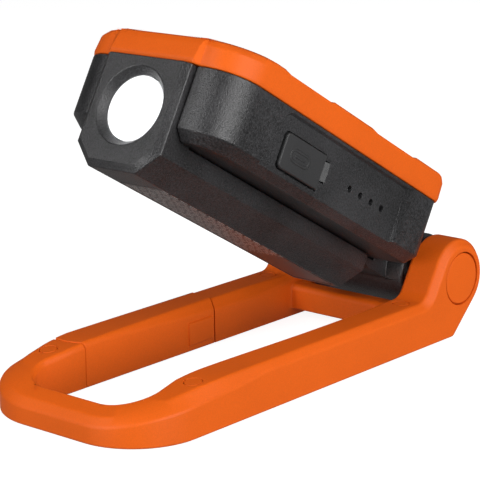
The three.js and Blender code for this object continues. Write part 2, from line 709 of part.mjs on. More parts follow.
function cellContact(x) {
  const plateSolid = block([x, x + 0.6], [-5, 5], [CELL_LEVEL - 4, CELL_LEVEL + 5]);
  const tab = block([x, x + 0.6], [-1.5, 1.5], [CELL_LEVEL + 4, 9.5]);
  return plateSolid.add(tab);
}

function driverBoard() {
  return raised(plate(44, 94, 21.5, 1.5), [8.8, 10.4]);
}

function chargeSocket() {
  const span = [PORT_MIDDLE - 4.5, PORT_MIDDLE + 4.5];
  const height = 3.2;
  const levels = [PORT_LEVEL - height / 2, PORT_LEVEL + height / 2];
  const room = [levels[0] + 0.4, levels[1] - 0.4];
  return block(span, [17.5, 25.2], levels)
    .subtract(block([span[0] + 0.4, span[1] - 0.4], [19, 40], room))
    .add(block([PORT_MIDDLE - 3.2, PORT_MIDDLE + 3.2], [18, 24.4], [PORT_LEVEL - 0.35, PORT_LEVEL + 0.35]));
}

function lightGuide() {
  const first = PIP_PLACES[0];
  const last = PIP_PLACES.at(-1);
  let guide = block([first - 2, last + 2], [23.6, 25.2], [PIP_LEVEL - 1.5, PIP_LEVEL + 1.5]);
  for (const x of PIP_PLACES) guide = guide.add(bar('y', 0.75, [25, 27.1], [x, PIP_LEVEL], 12));
  return guide;
}

function torchLens() {
  const face = TORCH_FACE - TORCH_MOUTH_DEPTH - 0.2;
  const radius = TORCH_BORE - GAP;
  const rim = 1.4;
  const points = [
    [0, -rim], [radius, -rim], [radius, 0], [radius * 0.72, 0.45], [radius * 0.38, 0.8], [0, 0.95],
  ].map(([r, x]) => new THREE.Vector2(r, x));
  return new THREE.LatheGeometry(points, 32).rotateZ(-Math.PI / 2).translate(face, 0, TORCH_LEVEL);
}

// A parabolic cup open at both ends.
function torchReflector() {
  const back = 106;
  const front = TORCH_FACE - 4.4;
  const throat = 2.2;
  const wall = 1;
  const inner = (t) => throat + (TORCH_BORE - GAP - wall - throat) * Math.sqrt(t);
  const stations = [0, 0.08, 0.25, 0.5, 0.75, 1];
  const place = (r, t) => new THREE.Vector2(r, back + (front - back) * t);
  const profile = [
    ...stations.map((t) => place(inner(t), t)),
    ...stations.toReversed().map((t) => place(inner(t) + wall, t)),
  ];
  profile.push(profile[0].clone());
  return new THREE.LatheGeometry(profile.toReversed(), 28).rotateZ(-Math.PI / 2)
    .translate(0, 0, TORCH_LEVEL);
}

function torchBoard() {
  const axis = [0, TORCH_LEVEL];
  return bar('x', 7.6, [104, 105.2], axis, 24).add(block([105, 106.2], [-1.5, 1.5], [1.3, 4.3]));
}

// The ring of soft rubber under the bezel.
function gasket() {
  const levels = [15, SEAM_LEVEL - GAP];
  const ring = plate(HEAD_START + 3, TORCH_BLOCK_START - 0.8, HEAD_HALF_WIDTH - 2.8, 3, 9);
  const hole = plate(HEAD_START + 4.6, TORCH_BLOCK_START - 2.4, HEAD_HALF_WIDTH - 4.4, 2, 8);
  return solid(raised(ring, levels)).subtract(solid(raised(hole, [0, 30])));
}

// ---- the charging flap -------------------------------------------------------------------------

function portFlap() {
  const { start, end, bottom, top } = FLAP;
  const inner = PORT_POCKET + GAP;
  const profile = outline([
    [start, bottom], [end - 1.5, bottom], [end, bottom + 1.5], [end - 0.6, top - 1], [end - 1.6, top],
    [start, top],
  ]);
  const strapEnd = FLAP_PIVOT_X - 0.6;
  const hingeStrap = block([strapEnd, start + 1], [inner + 0.6, HEAD_HALF_WIDTH - 0.5],
    [FLAP_STRAP.bottom, FLAP_STRAP.top]);
  const plug = block([PORT_MIDDLE - 3.6, PORT_MIDDLE + 3.6], [PORT_POCKET - 0.6, inner + 0.2],
    [PORT_LEVEL - 1, PORT_LEVEL + 1]);
  return sideways(profile, [inner, HEAD_HALF_WIDTH]).add(hingeStrap).add(plug);
}

// ---- assembly ----------------------------------------------------------------------------------

const stand = new THREE.Group();
stand.add(mesh('stand_frame', standFrame(), orangePlastic));
MAGNET_PLACES.forEach((place, i) => {
  const magnet = bar('z', MAGNET_RADIUS, [MAGNET.bottom, MAGNET.top], magnetPlace(place), 24);
  stand.add(mesh(`magnet_${i + 1}`, magnet, steel));
  stand.add(mesh(`magnet_plug_${i + 1}`, magnetPlug(place), orangePlastic));
});
stand.add(mesh('hinge_bolt', hingeBolt(), steel));
stand.add(mesh('hinge_nut', hingeNut(), steel));
stand.add(mesh('friction_washer_left', frictionWasher(1), steel));
stand.add(mesh('friction_washer_right', frictionWasher(-1), steel));
stand.add(mesh('hinge_cap_left', hingeCap(1), orangePlastic));
stand.add(mesh('hinge_cap_right', hingeCap(-1), orangePlastic));
stand.add(mesh('gate_lever', gateLever(), orangePlastic));
stand.add(mesh('gate_pin', gatePin(), steel));
stand.add(mesh('gate_spring', gateSpring(), steel));

const head = new THREE.Group();
head.add(mesh('housing_shell', housingShell(), blackPlastic));
head.add(mesh('spine_cover', spineCover(), blackPlastic));
head.add(mesh('bezel_frame', bezelFrame(), orangePlastic));
head.add(mesh('front_window', frontWindow(), clearPlastic));
head.add(mesh('bezel_gasket', gasket(), blackRubber));
head.add(mesh('reflector_tray', reflectorTray(), whiteBoard));
head.add(mesh('lamp_emitter', lampSheet(6.5, [18, 18.6]), phosphor));
head.add(mesh('lamp_board', lampSheet(0.5, [16.2, 17.6]), whiteBoard));
head.add(mesh('heat_spreader', lampSheet(0, [13.6, 15.9]), aluminium));
head.add(mesh('driver_board', driverBoard(), greenBoard));
head.add(mesh('charge_socket', chargeSocket(), steel));
head.add(mesh('button_switch', block([21.5, 26.5], [-2.5, 2.5], [16.9, 19.4]), steel));
head.add(mesh('battery_cell', cell(), cellWrap));
head.add(mesh('cell_contact_rear', cellContact(CELL_START - 1), aluminium));
head.add(mesh('cell_contact_front', cellContact(CELL_START + CELL_LENGTH + GAP), aluminium));
head.add(mesh('indicator_light_guide', lightGuide(), clearPlastic));
head.add(mesh('torch_lens', torchLens(), clearPlastic));
head.add(mesh('torch_reflector', torchReflector(), mirror));
head.add(mesh('torch_board', torchBoard(), whiteBoard));
head.add(mesh('rating_label', labelPlate(), labelFilm));
head.add(mesh('port_flap', portFlap(), blackRubber));
head.add(mesh('power_button', powerButton(), blackRubber));
SCREW_PLACES.forEach((place, i) => head.add(mesh(`case_screw_${i + 1}`, caseScrew(place), steel)));
SPINE_SCREW_PLACES.forEach((x, i) => head.add(mesh(`spine_screw_${i + 1}`, spineScrew(x), steel)));
head.rotation.y = -HEAD_TILT;
head.position.z = HINGE_HEIGHT;

const workLight = new THREE.Group();
workLight.add(stand, head);
workLight.position.x = -(LOOP_REACH - LUG_RADIUS) / 2;

export default workLight;
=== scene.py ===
"""The looks of the folding work light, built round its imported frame.

Shapes are drawn in millimetres. Stand pieces are drawn with the floor at z = 0 and the hinge axis
over x = 0. Head pieces are drawn with the head lying flat and the hinge axis at the origin, and the
HEAD matrix then tilts them to where the head is at rest.
"""
import json
import math

import bmesh
import bpy
from mathutils import Matrix, Vector


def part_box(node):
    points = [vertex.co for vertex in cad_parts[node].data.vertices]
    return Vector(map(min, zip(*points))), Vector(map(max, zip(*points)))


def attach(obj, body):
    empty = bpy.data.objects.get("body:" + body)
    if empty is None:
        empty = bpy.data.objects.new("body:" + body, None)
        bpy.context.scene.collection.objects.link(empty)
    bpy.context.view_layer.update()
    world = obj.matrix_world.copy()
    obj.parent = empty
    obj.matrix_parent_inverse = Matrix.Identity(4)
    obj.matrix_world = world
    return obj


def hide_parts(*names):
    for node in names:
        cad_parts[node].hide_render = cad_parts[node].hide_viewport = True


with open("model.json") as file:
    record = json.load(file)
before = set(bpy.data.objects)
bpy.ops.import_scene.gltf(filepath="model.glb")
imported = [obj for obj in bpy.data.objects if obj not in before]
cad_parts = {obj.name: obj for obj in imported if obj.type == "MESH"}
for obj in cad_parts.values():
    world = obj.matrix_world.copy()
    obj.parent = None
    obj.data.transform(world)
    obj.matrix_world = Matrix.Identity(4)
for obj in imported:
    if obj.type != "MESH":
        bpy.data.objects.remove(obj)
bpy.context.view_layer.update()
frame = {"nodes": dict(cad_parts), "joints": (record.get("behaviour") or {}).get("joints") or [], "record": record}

# ---- the frame's own places ----------------------------------------------------------------------

MM = 0.001
TILT = math.radians(30)
JOINTS = {joint["name"]: joint for joint in frame["joints"]}
HINGE = Vector(JOINTS["head_tilt"]["pos_m"])
SCALE = Matrix.Scale(MM, 4)
STAND = Matrix.Translation((HINGE.x, 0, 0)) @ SCALE
HEAD = Matrix.Translation(HINGE) @ Matrix.Rotation(-TILT, 4, "Y") @ SCALE


# The stand's lowest and highest corner, in millimetres, as stand pieces are drawn.
frame_low, frame_high = (STAND.inverted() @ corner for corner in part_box("stand_frame"))

# ---- driving dimensions --------------------------------------------------------------------------

GAP = 0.3                               # clearance round a piece that sits in another
FAR = 40                                # past every face sideways and upwards, for cutting through

HALF_WIDTH = frame_high.y               # stand, outside
REACH = frame_high.x                    # hinge axis to the closed end
HINGE_HEIGHT = HINGE.z / MM
ARM_INNER = 19
ARM_TOP = 12.9
OPENING_REACH = REACH - 8
LOOP_CORNER = 20
OPENING_CORNER = 10
LOOP_SWELL = 1
BEND_START = 100
BEND_SLOPE = 0.35
BEND_STATIONS = (60, 70, 80, 86, 92, 98, 102)   # sections along the arm, closer where it changes
LUG_RADIUS = -frame_low.x
LUG_FRONT = 58                          # degrees
HEEL = 43
HINGE_BORE = 2.8
CAP_RADIUS = 7.8
CAP_SEAT = 1.9                          # how deep the cap sits in the lug
BOLT_ROOM = {"radius": 5, "start": 25.5}
CROSSBAR = {"back": 10.5, "ahead": 17.2, "bottom": 2.5, "top": 10, "corner": 1.8}
PLUG_RADIUS = 2.5
PLUG_SEAT = 4.1                         # the height of the floor under the plugs
PLUG_Y = (HALF_WIDTH + ARM_INNER) / 2 - 0.3
PLUG_PLACES = [(21, 1), (21, -1), (110, 1), (113, -1)]
GATE = (50, 107)
GATE_SLANT = 2                          # the gate is this much shorter on its inner side
GATE_MIDDLE = -24
GATE_PIVOT = (108.6, -28.6)
GATE_PROUD = 0.3                        # how far the gate's top stands above the arm's
GATE_GAPS = (0.35, 0.3)                 # at the latch and at the pivot
TONGUE = (4.6, 8.4)
TONGUE_EYE = 2
THUMB_PAD = {"start": 53, "end": 63.5, "bottom": 1.8, "top": 8.6, "rise": 0.45}
JOIN_X = 34                             # where the lofted arm takes over from the lug's side view

HEAD_HALF = 28
HEAD_START = 16.5
HEAD_END = 119.5
HEAD_CORNER = 11
FLOOR_LEVEL = -3.2
SEAM = 16.6
RIM_TOP = 25
RIM_OVERHANG = 0.4                      # how far the rim stands out past the housing
RIM_CORNERS = (11.4, 11.8, 12.4, 13.5, 15)   # the torch-end corners, rounder towards the top
RIM_EDGE = 1.9                          # how far the rim's top stands in from its side
RIM_FOLD = HEAD_END + RIM_OVERHANG - RIM_EDGE - RIM_CORNERS[-1]
RIM_FALL = 0.03                         # past the fold the top slopes down to the nose
RIM_FOLD_POINTS = (0, 31)               # where the fold meets the rim's outline
RIM_RECESSES = ((35, 55), (78, 98))
RIM_RECESS_DEPTH = 0.9
SPINE_START = 21.5
SPINE_HALF = 14.86
SPINE_FOOT = 8.32
SPINE_BOTTOM = -14.66
SPINE_SHOULDER = -8.63
TORCH_FACE = 122.7
TORCH_BACK = 112
TORCH_LEVEL = 2.8
TORCH_BORE = 9.3
TORCH_MOUTH = 11
TORCH_MOUTH_DEPTH = 2.2
KNUCKLE_RADIUS = 11.2
KNUCKLE_HALF = 17.9
PANEL_DEPTH = 0.75
PORT_FLOOR = 26.1
PIPS = [42.6 + 5.45 * i for i in range(4)]
PIP_LEVEL = 6.3
FLAP = {"start": 73.3, "end": 91.9, "bottom": 0.9, "top": 10.8}
STRAP = {"length": 2.3, "bottom": 3.8, "top": 9.3}
PORT_X = 83.5
PORT_LEVEL = 5.8
LABEL = {"start": 27, "end": 109, "half": 7.2, "depth": 0.35}
WINDOW = {"start": 34, "end": 104, "half": 20.5, "bottom": 22, "top": 24.4}
LAMP = {"start": 38, "end": 100, "half": 17}
BUTTON = {"start": 20, "end": 28, "half": 8}
CELL = {"start": 31.5, "end": 96.5, "radius": 9.2, "level": -3.2}

ROUND_ANGLE = 28                        # edges sharper than this get the large radius
FINE_ANGLE = 40                         # and, once those are rounded, these get the small one
SHARP_ANGLE = 32                        # smooth shading stops at edges sharper than this
SOFT_EDGE = 0.6                         # the large radius on the stand
SHELL_EDGE = 0.35                       # and on the head's shells

CAMERA_FROM_HINGE = (0.47545, 0.3592, 0.16)  # metres
CAMERA_FORWARD = (-0.73087, -0.63550, -0.24896)
CAMERA_ROLL = -0.765                    # degrees
LENS = 152.94

# ---- outlines ------------------------------------------------------------------------------------


def arc(centre, radius, start, end, steps):
    """Points round an arc, with angles in degrees."""
    points = []
    for i in range(steps + 1):
        angle = math.radians(start + (end - start) * i / steps)
        points.append((centre[0] + radius * math.cos(angle), centre[1] + radius * math.sin(angle)))
    return points


def rounded(x0, x1, half, low_corner, high_corner=None, steps=8, middle=0):
    """A rectangle seen from above, with its own corner radius at each end of x."""
    high_corner = low_corner if high_corner is None else high_corner
    high = half - high_corner
    low = half - low_corner
    return [
        *arc((x1 - high_corner, middle - high), high_corner, -90, 0, steps),
        *arc((x1 - high_corner, middle + high), high_corner, 0, 90, steps),
        *arc((x0 + low_corner, middle + low), low_corner, 90, 180, steps),
        *arc((x0 + low_corner, middle - low), low_corner, 180, 270, steps),
    ]


def inset(points, depth):
    """The outline moved inwards by a depth, or by a depth of its own at each point."""
    count = len(points)
    depths = depth if isinstance(depth, list) else [depth] * count
    area = sum(points[i - 1][0] * points[i][1] - points[i][0] * points[i - 1][1] for i in range(count))
    turn = 1 if area > 0 else -1
    moved = []
    for i, point in enumerate(points):
        before = Vector(points[i - 1]) - Vector(point)
        after = Vector(points[(i + 1) % count]) - Vector(point)
        first = Vector((before.y, -before.x)).normalized() * turn
        second = Vector((-after.y, after.x)).normalized() * turn
        way = first + second
        way = way / max(0.2, way.dot(first))
        moved.append(tuple(Vector(point) + way * depths[i]))
    return moved


def plan(points, z):
    return [(x, y, z) for x, y in points]


def side(points, y):
    return [(x, y, z) for x, z in points]


def front(points, x):
    return [(x, y, z) for y, z in points]


def smooth_step(low, high, value):
    share = min(1, max(0, (value - low) / (high - low)))
    return share * share * (3 - 2 * share)


# ---- solids --------------------------------------------------------------------------------------


def object_from(name, mesh):
    obj = bpy.data.objects.new(name, mesh)
    bpy.context.scene.collection.objects.link(obj)
    return obj


def solid(rings, closed=False, fold=None):
    """A closed mesh through matching rings of points. Its ends are capped, or joined to each other.

    A last ring that is bent along one line gives the two points of that line as its fold.
    """
    work = bmesh.new()
    layers = [[work.verts.new(point) for point in ring] for ring in rings]
    count = len(rings[0])
    pairs = list(zip(layers, layers[1:]))
    if closed:
        pairs.append((layers[-1], layers[0]))
    for low, high in pairs:
        for i in range(count):
            j = (i + 1) % count
            work.faces.new((low[i], low[j], high[j], high[i]))
    if not closed:
        work.faces.new(layers[0])
        top = work.faces.new(layers[-1])
        if fold:
            bmesh.utils.face_split(top, layers[-1][fold[0]], layers[-1][fold[1]])
    bmesh.ops.remove_doubles(work, verts=work.verts, dist=1e-4)
    bmesh.ops.recalc_face_normals(work, faces=work.faces)
    mesh = bpy.data.meshes.new("shape")
    work.to_mesh(mesh)
    work.free()
    return object_from("shape", mesh)


def slab(points, view, low, high, chamfer=0):
    """An outline given a depth, with its two rims chamfered if asked."""
    if not chamfer:
        return solid([view(points, low), view(points, high)])
    small = inset(points, chamfer)
    return solid([view(small, low), view(points, low + chamfer),
                  view(points, high - chamfer), view(small, high)])


def block(x, y, z, chamfer=0):
    points = [(x[0], y[0]), (x[1], y[0]), (x[1], y[1]), (x[0], y[1])]
    return slab(points, plan, z[0], z[1], chamfer)


def turned(profile, axis, centre, segments=48, closed=False):
    """A shape turned about an axis. The profile gives (radius, distance along the axis)."""
    rings = []
    for radius, along in profile:
        circle = arc(centre, radius, 0, 360 - 360 / segments, segments - 1)
        rings.append({"x": front, "y": side, "z": plan}[axis](circle, along))
    return solid(rings, closed)


def pin(axis, radius, low, high, centre, chamfer=0, segments=48):
    """A round bar with its rims rounded over, if asked, in three steps."""
    if not chamfer:
        return turned([(radius, low), (radius, high)], axis, centre, segments)
    corner = [(radius - chamfer * (1 - math.sin(a)), chamfer * (1 - math.cos(a)))
              for a in (0, math.pi / 6, math.pi / 3, math.pi / 2)]
    profile = [(r, low + t) for r, t in corner] + [(r, high - t) for r, t in reversed(corner)]
    return turned(profile, axis, centre, segments)


def apply_modifiers(obj):
    graph = bpy.context.evaluated_depsgraph_get()
    mesh = bpy.data.meshes.new_from_object(obj.evaluated_get(graph))
    obj.modifiers.clear()
    obj.data = mesh


def combine(target, operation, tools):
    for tool in tools:
        modifier = target.modifiers.new(operation, "BOOLEAN")
        modifier.object = tool
        modifier.operation = operation
        modifier.solver = "EXACT"
    apply_modifiers(target)
    for tool in tools:
        bpy.data.objects.remove(tool)
    return target


def cut(target, *tools):
    return combine(target, "DIFFERENCE", tools)


def join(target, *tools):
    return combine(target, "UNION", tools)


def clean(obj):
    """Merges the points and flat faces that cutting leaves doubled."""
    flat_angle = 0.15                   # degrees
    work = bmesh.new()
    work.from_mesh(obj.data)
    bmesh.ops.remove_doubles(work, verts=work.verts, dist=0.01)
    bmesh.ops.dissolve_degenerate(work, edges=work.edges, dist=0.01)
    bmesh.ops.dissolve_limit(work, angle_limit=math.radians(flat_angle), verts=work.verts,
                             edges=work.edges)
    bmesh.ops.recalc_face_normals(work, faces=work.faces)
    work.to_mesh(obj.data)
    work.free()


def soften(obj, width, angle=FINE_ANGLE):
    """Rounds every edge sharper than the angle."""
    clean(obj)
    bevel = obj.modifiers.new("edges", "BEVEL")
    bevel.width = width
    bevel.segments = 3
    bevel.limit_method = "ANGLE"
    bevel.angle_limit = math.radians(angle)
    bevel.use_clamp_overlap = False
    bevel.miter_outer = "MITER_ARC"
    apply_modifiers(obj)
    return obj


def shade(obj, sharp):
    """Smooth shading that keeps the flat faces flat."""
    obj.data.shade_smooth()
    obj.data.set_sharp_from_angle(angle=math.radians(sharp))
    weighted = obj.modifiers.new("normals", "WEIGHTED_NORMAL")
    weighted.keep_sharp = True
    weighted.weight = 50


def piece(obj, name, place, body, slot_name, nodes, edge, sharp=SHARP_ANGLE):
    """Finishes a drawn shape: rounds its edges, puts it in place, paints it and ties it to its body."""
    if edge:
        soften(obj, edge)
    obj.data.transform(place)
    if place.determinant() < 0:
        obj.data.flip_normals()
    obj.name = name
    obj.data.name = name
    shade(obj, sharp)
    obj.data.materials.clear()
    obj.data.materials.append(MATERIALS[slot_name])
    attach(obj, body)
    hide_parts(*nodes)


# ---- materials -----------------------------------------------------------------------------------


def shader(name):
    """A new material and a short way to add nodes to it and to link them."""
    material = bpy.data.materials.new(name)
    material.use_nodes = True
    tree = material.node_tree
    principled = tree.nodes["Principled BSDF"]

    def add(kind, settings=None, **sockets):
        node = tree.nodes.new(kind)
        for key, value in (settings or {}).items():
            setattr(node, key, value)
        for key, value in sockets.items():
            socket = node.inputs[key.replace("_", " ")]
            if isinstance(value, bpy.types.NodeSocket):
                tree.links.new(value, socket)
            else:
                socket.default_value = value
        return node

    def link(output, socket):
        tree.links.new(output, principled.inputs[socket])

    return material, principled, add, link


def place_on(add):
    """The place on the object, so that a pattern moves with it."""
    return add("ShaderNodeTexCoord").outputs["Object"]


def ramp(add, value, low, high, low_colour, high_colour):
    node = add("ShaderNodeValToRGB", Fac=value)
    node.color_ramp.elements[0].position = low
    node.color_ramp.elements[1].position = high
    node.color_ramp.elements[0].color = (*low_colour, 1)
    node.color_ramp.elements[1].color = (*high_colour, 1)
    return node.outputs["Color"]


def spread(add, value, low, high):
    node = add("ShaderNodeMapRange", Value=value, To_Min=low, To_Max=high)
    return node.outputs["Result"]


def maths(add, operation, first, second):
    """One sum on two values, of which the second may be a plain number."""
    node = add("ShaderNodeMath", {"operation": operation})
    links = node.id_data.links
    links.new(first, node.inputs[0])
    if isinstance(second, bpy.types.NodeSocket):
        links.new(second, node.inputs[1])
    else:
        node.inputs[1].default_value = second
    return node.outputs[0]


def shift(colour, share):
    return tuple(min(1, c * share) for c in colour)


def moulded(name, colour, roughness, grain=0.25, grain_scale=5200, mottle=0.06, specular=0.5):
    """Moulded plastic or rubber: eroded grain, slow colour drift and uneven gloss."""
    material, principled, add, link = shader(name)
    where = place_on(add)
    drift = add("ShaderNodeTexNoise", Vector=where, Scale=45.0, Detail=4.0).outputs["Fac"]
    speck = add("ShaderNodeTexNoise", Vector=where, Scale=grain_scale * 0.6, Detail=2.0).outputs["Fac"]
    fine = add("ShaderNodeTexVoronoi", Vector=where, Scale=grain_scale).outputs["Distance"]
    mixed = add("ShaderNodeMix", {"data_type": "FLOAT"}, Factor=0.6, A=drift, B=speck).outputs["Result"]
    darker, lighter = shift(colour, 1 - mottle), shift(colour, 1 + mottle)
    link(ramp(add, mixed, 0.36, 0.64, darker, lighter), "Base Color")
    link(spread(add, mixed, roughness - 0.08, roughness + 0.08), "Roughness")
    principled.inputs["Specular IOR Level"].default_value = specular
    bump = add("ShaderNodeBump", Strength=grain, Distance=0.00006, Height=fine)
    soft = add("ShaderNodeBump", Strength=grain * 0.6, Distance=0.00015, Height=speck,
               Normal=bump.outputs["Normal"])
    link(soft.outputs["Normal"], "Normal")
    return material


def metal(name, colour, roughness):
    """Bare metal with a drawn or turned grain."""
    material, principled, add, link = shader(name)
    where = add("ShaderNodeMapping", Vector=place_on(add), Scale=(1, 1, 30)).outputs["Vector"]
    scratch = add("ShaderNodeTexNoise", Vector=where, Scale=900.0, Detail=5.0).outputs["Fac"]
    link(ramp(add, scratch, 0.3, 0.7, shift(colour, 0.86), colour), "Base Color")
    link(spread(add, scratch, roughness - 0.1, roughness + 0.14), "Roughness")
    principled.inputs["Metallic"].default_value = 1
    bump = add("ShaderNodeBump", Strength=0.15, Distance=0.00003, Height=scratch)
    link(bump.outputs["Normal"], "Normal")
    return material


def clear(name, tint, roughness, transmission, painted_glow=0.0):
    """Clear or frosted moulded plastic, with a painted glow if asked: white light of its own that paints
    brightness on it where no lamp shines.
    """
    material, principled, add, link = shader(name)
    where = place_on(add)
    flow = add("ShaderNodeTexNoise", Vector=where, Scale=160.0, Detail=3.0).outputs["Fac"]
    link(ramp(add, flow, 0.35, 0.65, shift(tint, 0.96), tint), "Base Color")
    link(spread(add, flow, max(0, roughness - 0.04), roughness + 0.04), "Roughness")
    principled.inputs["Transmission Weight"].default_value = transmission
    principled.inputs["IOR"].default_value = 1.49
    # painted glow: the plastic shines white by itself, though it is no lamp
    principled.inputs["Emission Color"].default_value = (1, 1, 1, 1)
    principled.inputs["Emission Strength"].default_value = painted_glow
    bump = add("ShaderNodeBump", Strength=0.05, Distance=0.0001, Height=flow)
    link(bump.outputs["Normal"], "Normal")
    return material


def board(name, colour, track):
    """A coated circuit board with faint copper tracks under its coat."""
    material, _, add, link = shader(name)
    where = place_on(add)
    tracks = add("ShaderNodeTexBrick", {"offset": 0.35}, Vector=where, Scale=300.0, Mortar_Size=0.05,
                 Color1=(*colour, 1), Color2=(*shift(colour, 1.12), 1), Mortar=(*track, 1))
    link(tracks.outputs["Color"], "Base Color")
    grain = add("ShaderNodeTexNoise", Vector=where, Scale=2500.0, Detail=2.0).outputs["Fac"]
    link(spread(add, grain, 0.35, 0.55), "Roughness")
    bump = add("ShaderNodeBump", Strength=0.2, Distance=0.00005, Height=tracks.outputs["Fac"])
    link(bump.outputs["Normal"], "Normal")
    return material


def phosphor(name):
    """The yellow gel over the light-emitting chips, which show as a fine grid beneath it."""
    material, _, add, link = shader(name)
    where = place_on(add)
    chips = add("ShaderNodeTexVoronoi", {"distance": "CHEBYCHEV"}, Vector=where, Scale=420.0,
                Randomness=0.15).outputs["Distance"]
    link(ramp(add, chips, 0.1, 0.5, (0.95, 0.72, 0.12), (0.88, 0.56, 0.05)), "Base Color")
    grain = add("ShaderNodeTexNoise", Vector=where, Scale=900.0).outputs["Fac"]
    link(spread(add, grain, 0.3, 0.45), "Roughness")
    bump = add("ShaderNodeBump", Strength=0.25, Distance=0.0001, Height=chips)
    link(bump.outputs["Normal"], "Normal")
    return material


def label_film(name):
    """A dark printed film. Rows of short plain bars stand where a rating label has its small print; the film and
    the print are painted lighter, partly real print and partly a painted reflection of the pale floor.
    """
    material, _, add, link = shader(name)
    where = add("ShaderNodeMapping", {"vector_type": "TEXTURE"}, Vector=place_on(add),
                Location=tuple(HINGE), Rotation=(0, -TILT, 0)).outputs["Vector"]
    rows = add("ShaderNodeTexBrick", {"offset": 0.37, "squash": 0.6, "squash_frequency": 3},
               Vector=add("ShaderNodeMapping", Vector=where, Scale=(1, 1, 0)).outputs["Vector"],
               Scale=1.0, Mortar_Size=0.0005, Mortar_Smooth=0.0, Brick_Width=0.0042,
               Row_Height=0.0013, Bias=0.0, Color1=(1, 1, 1, 1), Color2=(0.6, 0.6, 0.6, 1),
               Mortar=(0, 0, 0, 1))
    along = add("ShaderNodeSeparateXYZ", Vector=where).outputs["X"]
    area = maths(add, "MULTIPLY", maths(add, "LESS_THAN", along, 0.108),
                 maths(add, "GREATER_THAN", along, 0.052))
    ink_and_painted_reflection = maths(add, "MULTIPLY", area, rows.outputs["Color"])
    worn = add("ShaderNodeTexNoise", Vector=where, Scale=700.0, Detail=3.0).outputs["Fac"]
    # the film's colour and the light print are partly painted reflection: they stand in for the pale floor, which
    # the film doesn't reflect in the render
    film = ramp(add, worn, 0.3, 0.7, (0.06, 0.054, 0.052), (0.09, 0.082, 0.079))
    printed = add("ShaderNodeMixRGB", Fac=ink_and_painted_reflection, Color1=film, Color2=(0.9, 0.88, 0.86, 1))
    link(printed.outputs["Color"], "Base Color")
    link(spread(add, worn, 0.28, 0.42), "Roughness")
    bump = add("ShaderNodeBump", Strength=0.1, Distance=0.00003, Height=worn)
    link(bump.outputs["Normal"], "Normal")
    return material


ORANGE = (0.77, 0.117, 0.005)
BLACK = (0.026, 0.0255, 0.027)

MATERIALS = {
    "orange_plastic": moulded("orange_plastic", ORANGE, 0.5, grain=0.15, mottle=0.06, specular=0.25),
    "black_plastic": moulded("black_plastic", BLACK, 0.34, grain=1.0, grain_scale=3600, mottle=0.85,
                             specular=0.6),
    "black_rubber": moulded("black_rubber", (0.03, 0.03, 0.031), 0.5, grain=0.3, mottle=0.3),
    # the lens gets a painted glow, so that it shows bright white with no lamp behind it
    "clear_plastic": clear("clear_plastic", (0.95, 0.96, 0.97), 0.06, 0.3, painted_glow=0.4),
    "diffuser": clear("diffuser", (0.93, 0.94, 0.95), 0.16, 0.92),
    "steel": metal("steel", (0.52, 0.53, 0.55), 0.3),
    "magnet_plate": metal("magnet_plate", (0.62, 0.62, 0.64), 0.25),
    "aluminium": metal("aluminium", (0.72, 0.73, 0.75), 0.35),
    "mirror": metal("mirror", (0.93, 0.93, 0.94), 0.12),
    "white_board": board("white_board", (0.8, 0.8, 0.77), (0.62, 0.6, 0.5)),
    "green_board": board("green_board", (0.02, 0.13, 0.045), (0.05, 0.25, 0.08)),
    "phosphor": phosphor("phosphor"),
    "cell_wrap": moulded("cell_wrap", (0.03, 0.12, 0.38), 0.3, grain=0.1, mottle=0.08),
    "label_film": label_film("label_film"),
}

# ---- the stand -----------------------------------------------------------------------------------


def arm_top(x):
    """The height of the arms' top. Towards the closed end it bends down."""
    past = max(0, x - BEND_START)
    return ARM_TOP - BEND_SLOPE * past * past / (2 * (REACH - BEND_START))


def outer_drop(x):
    """How far the outer chamfer runs down the side of the arm."""
    return 2 + 1.4 * smooth_step(84, 104, x) - 1.9 * smooth_step(108, 134, x)


def outer_width(x):
    """How far the outer chamfer runs in over the top."""
    return 2 + 2.2 * smooth_step(104, 122, x) - 2 * smooth_step(126, REACH, x)


def inner_drop(x):
    """How far the inner chamfer runs down. It runs in over the top by three quarters of that."""
    return 3 - 1.8 * smooth_step(50, 105, x)


def arm_section(outer, inner, raise_top=0):
    """An arm's section. outer and inner each give the point that stands in from their side."""
    x0, y0 = outer(0)
    x1, y1 = inner(0)
    top_outer = outer(outer_width(x0))
    top_inner = inner(inner_drop(x1) * 0.75)
    return [
        (x0, y0, 0),
        (x0, y0, arm_top(x0) - outer_drop(x0) + raise_top),
        (*top_outer, arm_top(top_outer[0]) + raise_top),
        (*top_inner, arm_top(top_inner[0]) + raise_top),
        (x1, y1, arm_top(x1) - inner_drop(x1) + raise_top),
        (x1, y1, 0),
    ]


def straight_section(x, hand, raise_top=0):
    outer = lambda depth: (x, hand * (HALF_WIDTH - depth))
    inner = lambda depth: (x, hand * (ARM_INNER + depth))
    return arm_section(outer, inner, raise_top)


def corner_section(angle, hand):
    """The section at an angle in degrees round the corner, 90 at the arm and 0 at the closed end."""
    turn = math.radians(angle)

    def around(reach, half, radius):
        return (reach - radius + radius * math.cos(turn),
                hand * (half - radius + radius * math.sin(turn)))

    outer = lambda depth: around(REACH - depth, HALF_WIDTH - depth, LOOP_CORNER - depth)
    inner = lambda depth: around(OPENING_REACH + depth, ARM_INNER + LOOP_SWELL + depth,
                                 OPENING_CORNER + depth)
    return arm_section(outer, inner)


def half_loop(hand):
    stations = (JOIN_X, GATE[0], *BEND_STATIONS, 105, 108, 111)
    straight = [straight_section(x, hand) for x in stations]
    corner = [corner_section(90 - 90 * i / 20, hand) for i in range(21)]
    return straight + corner


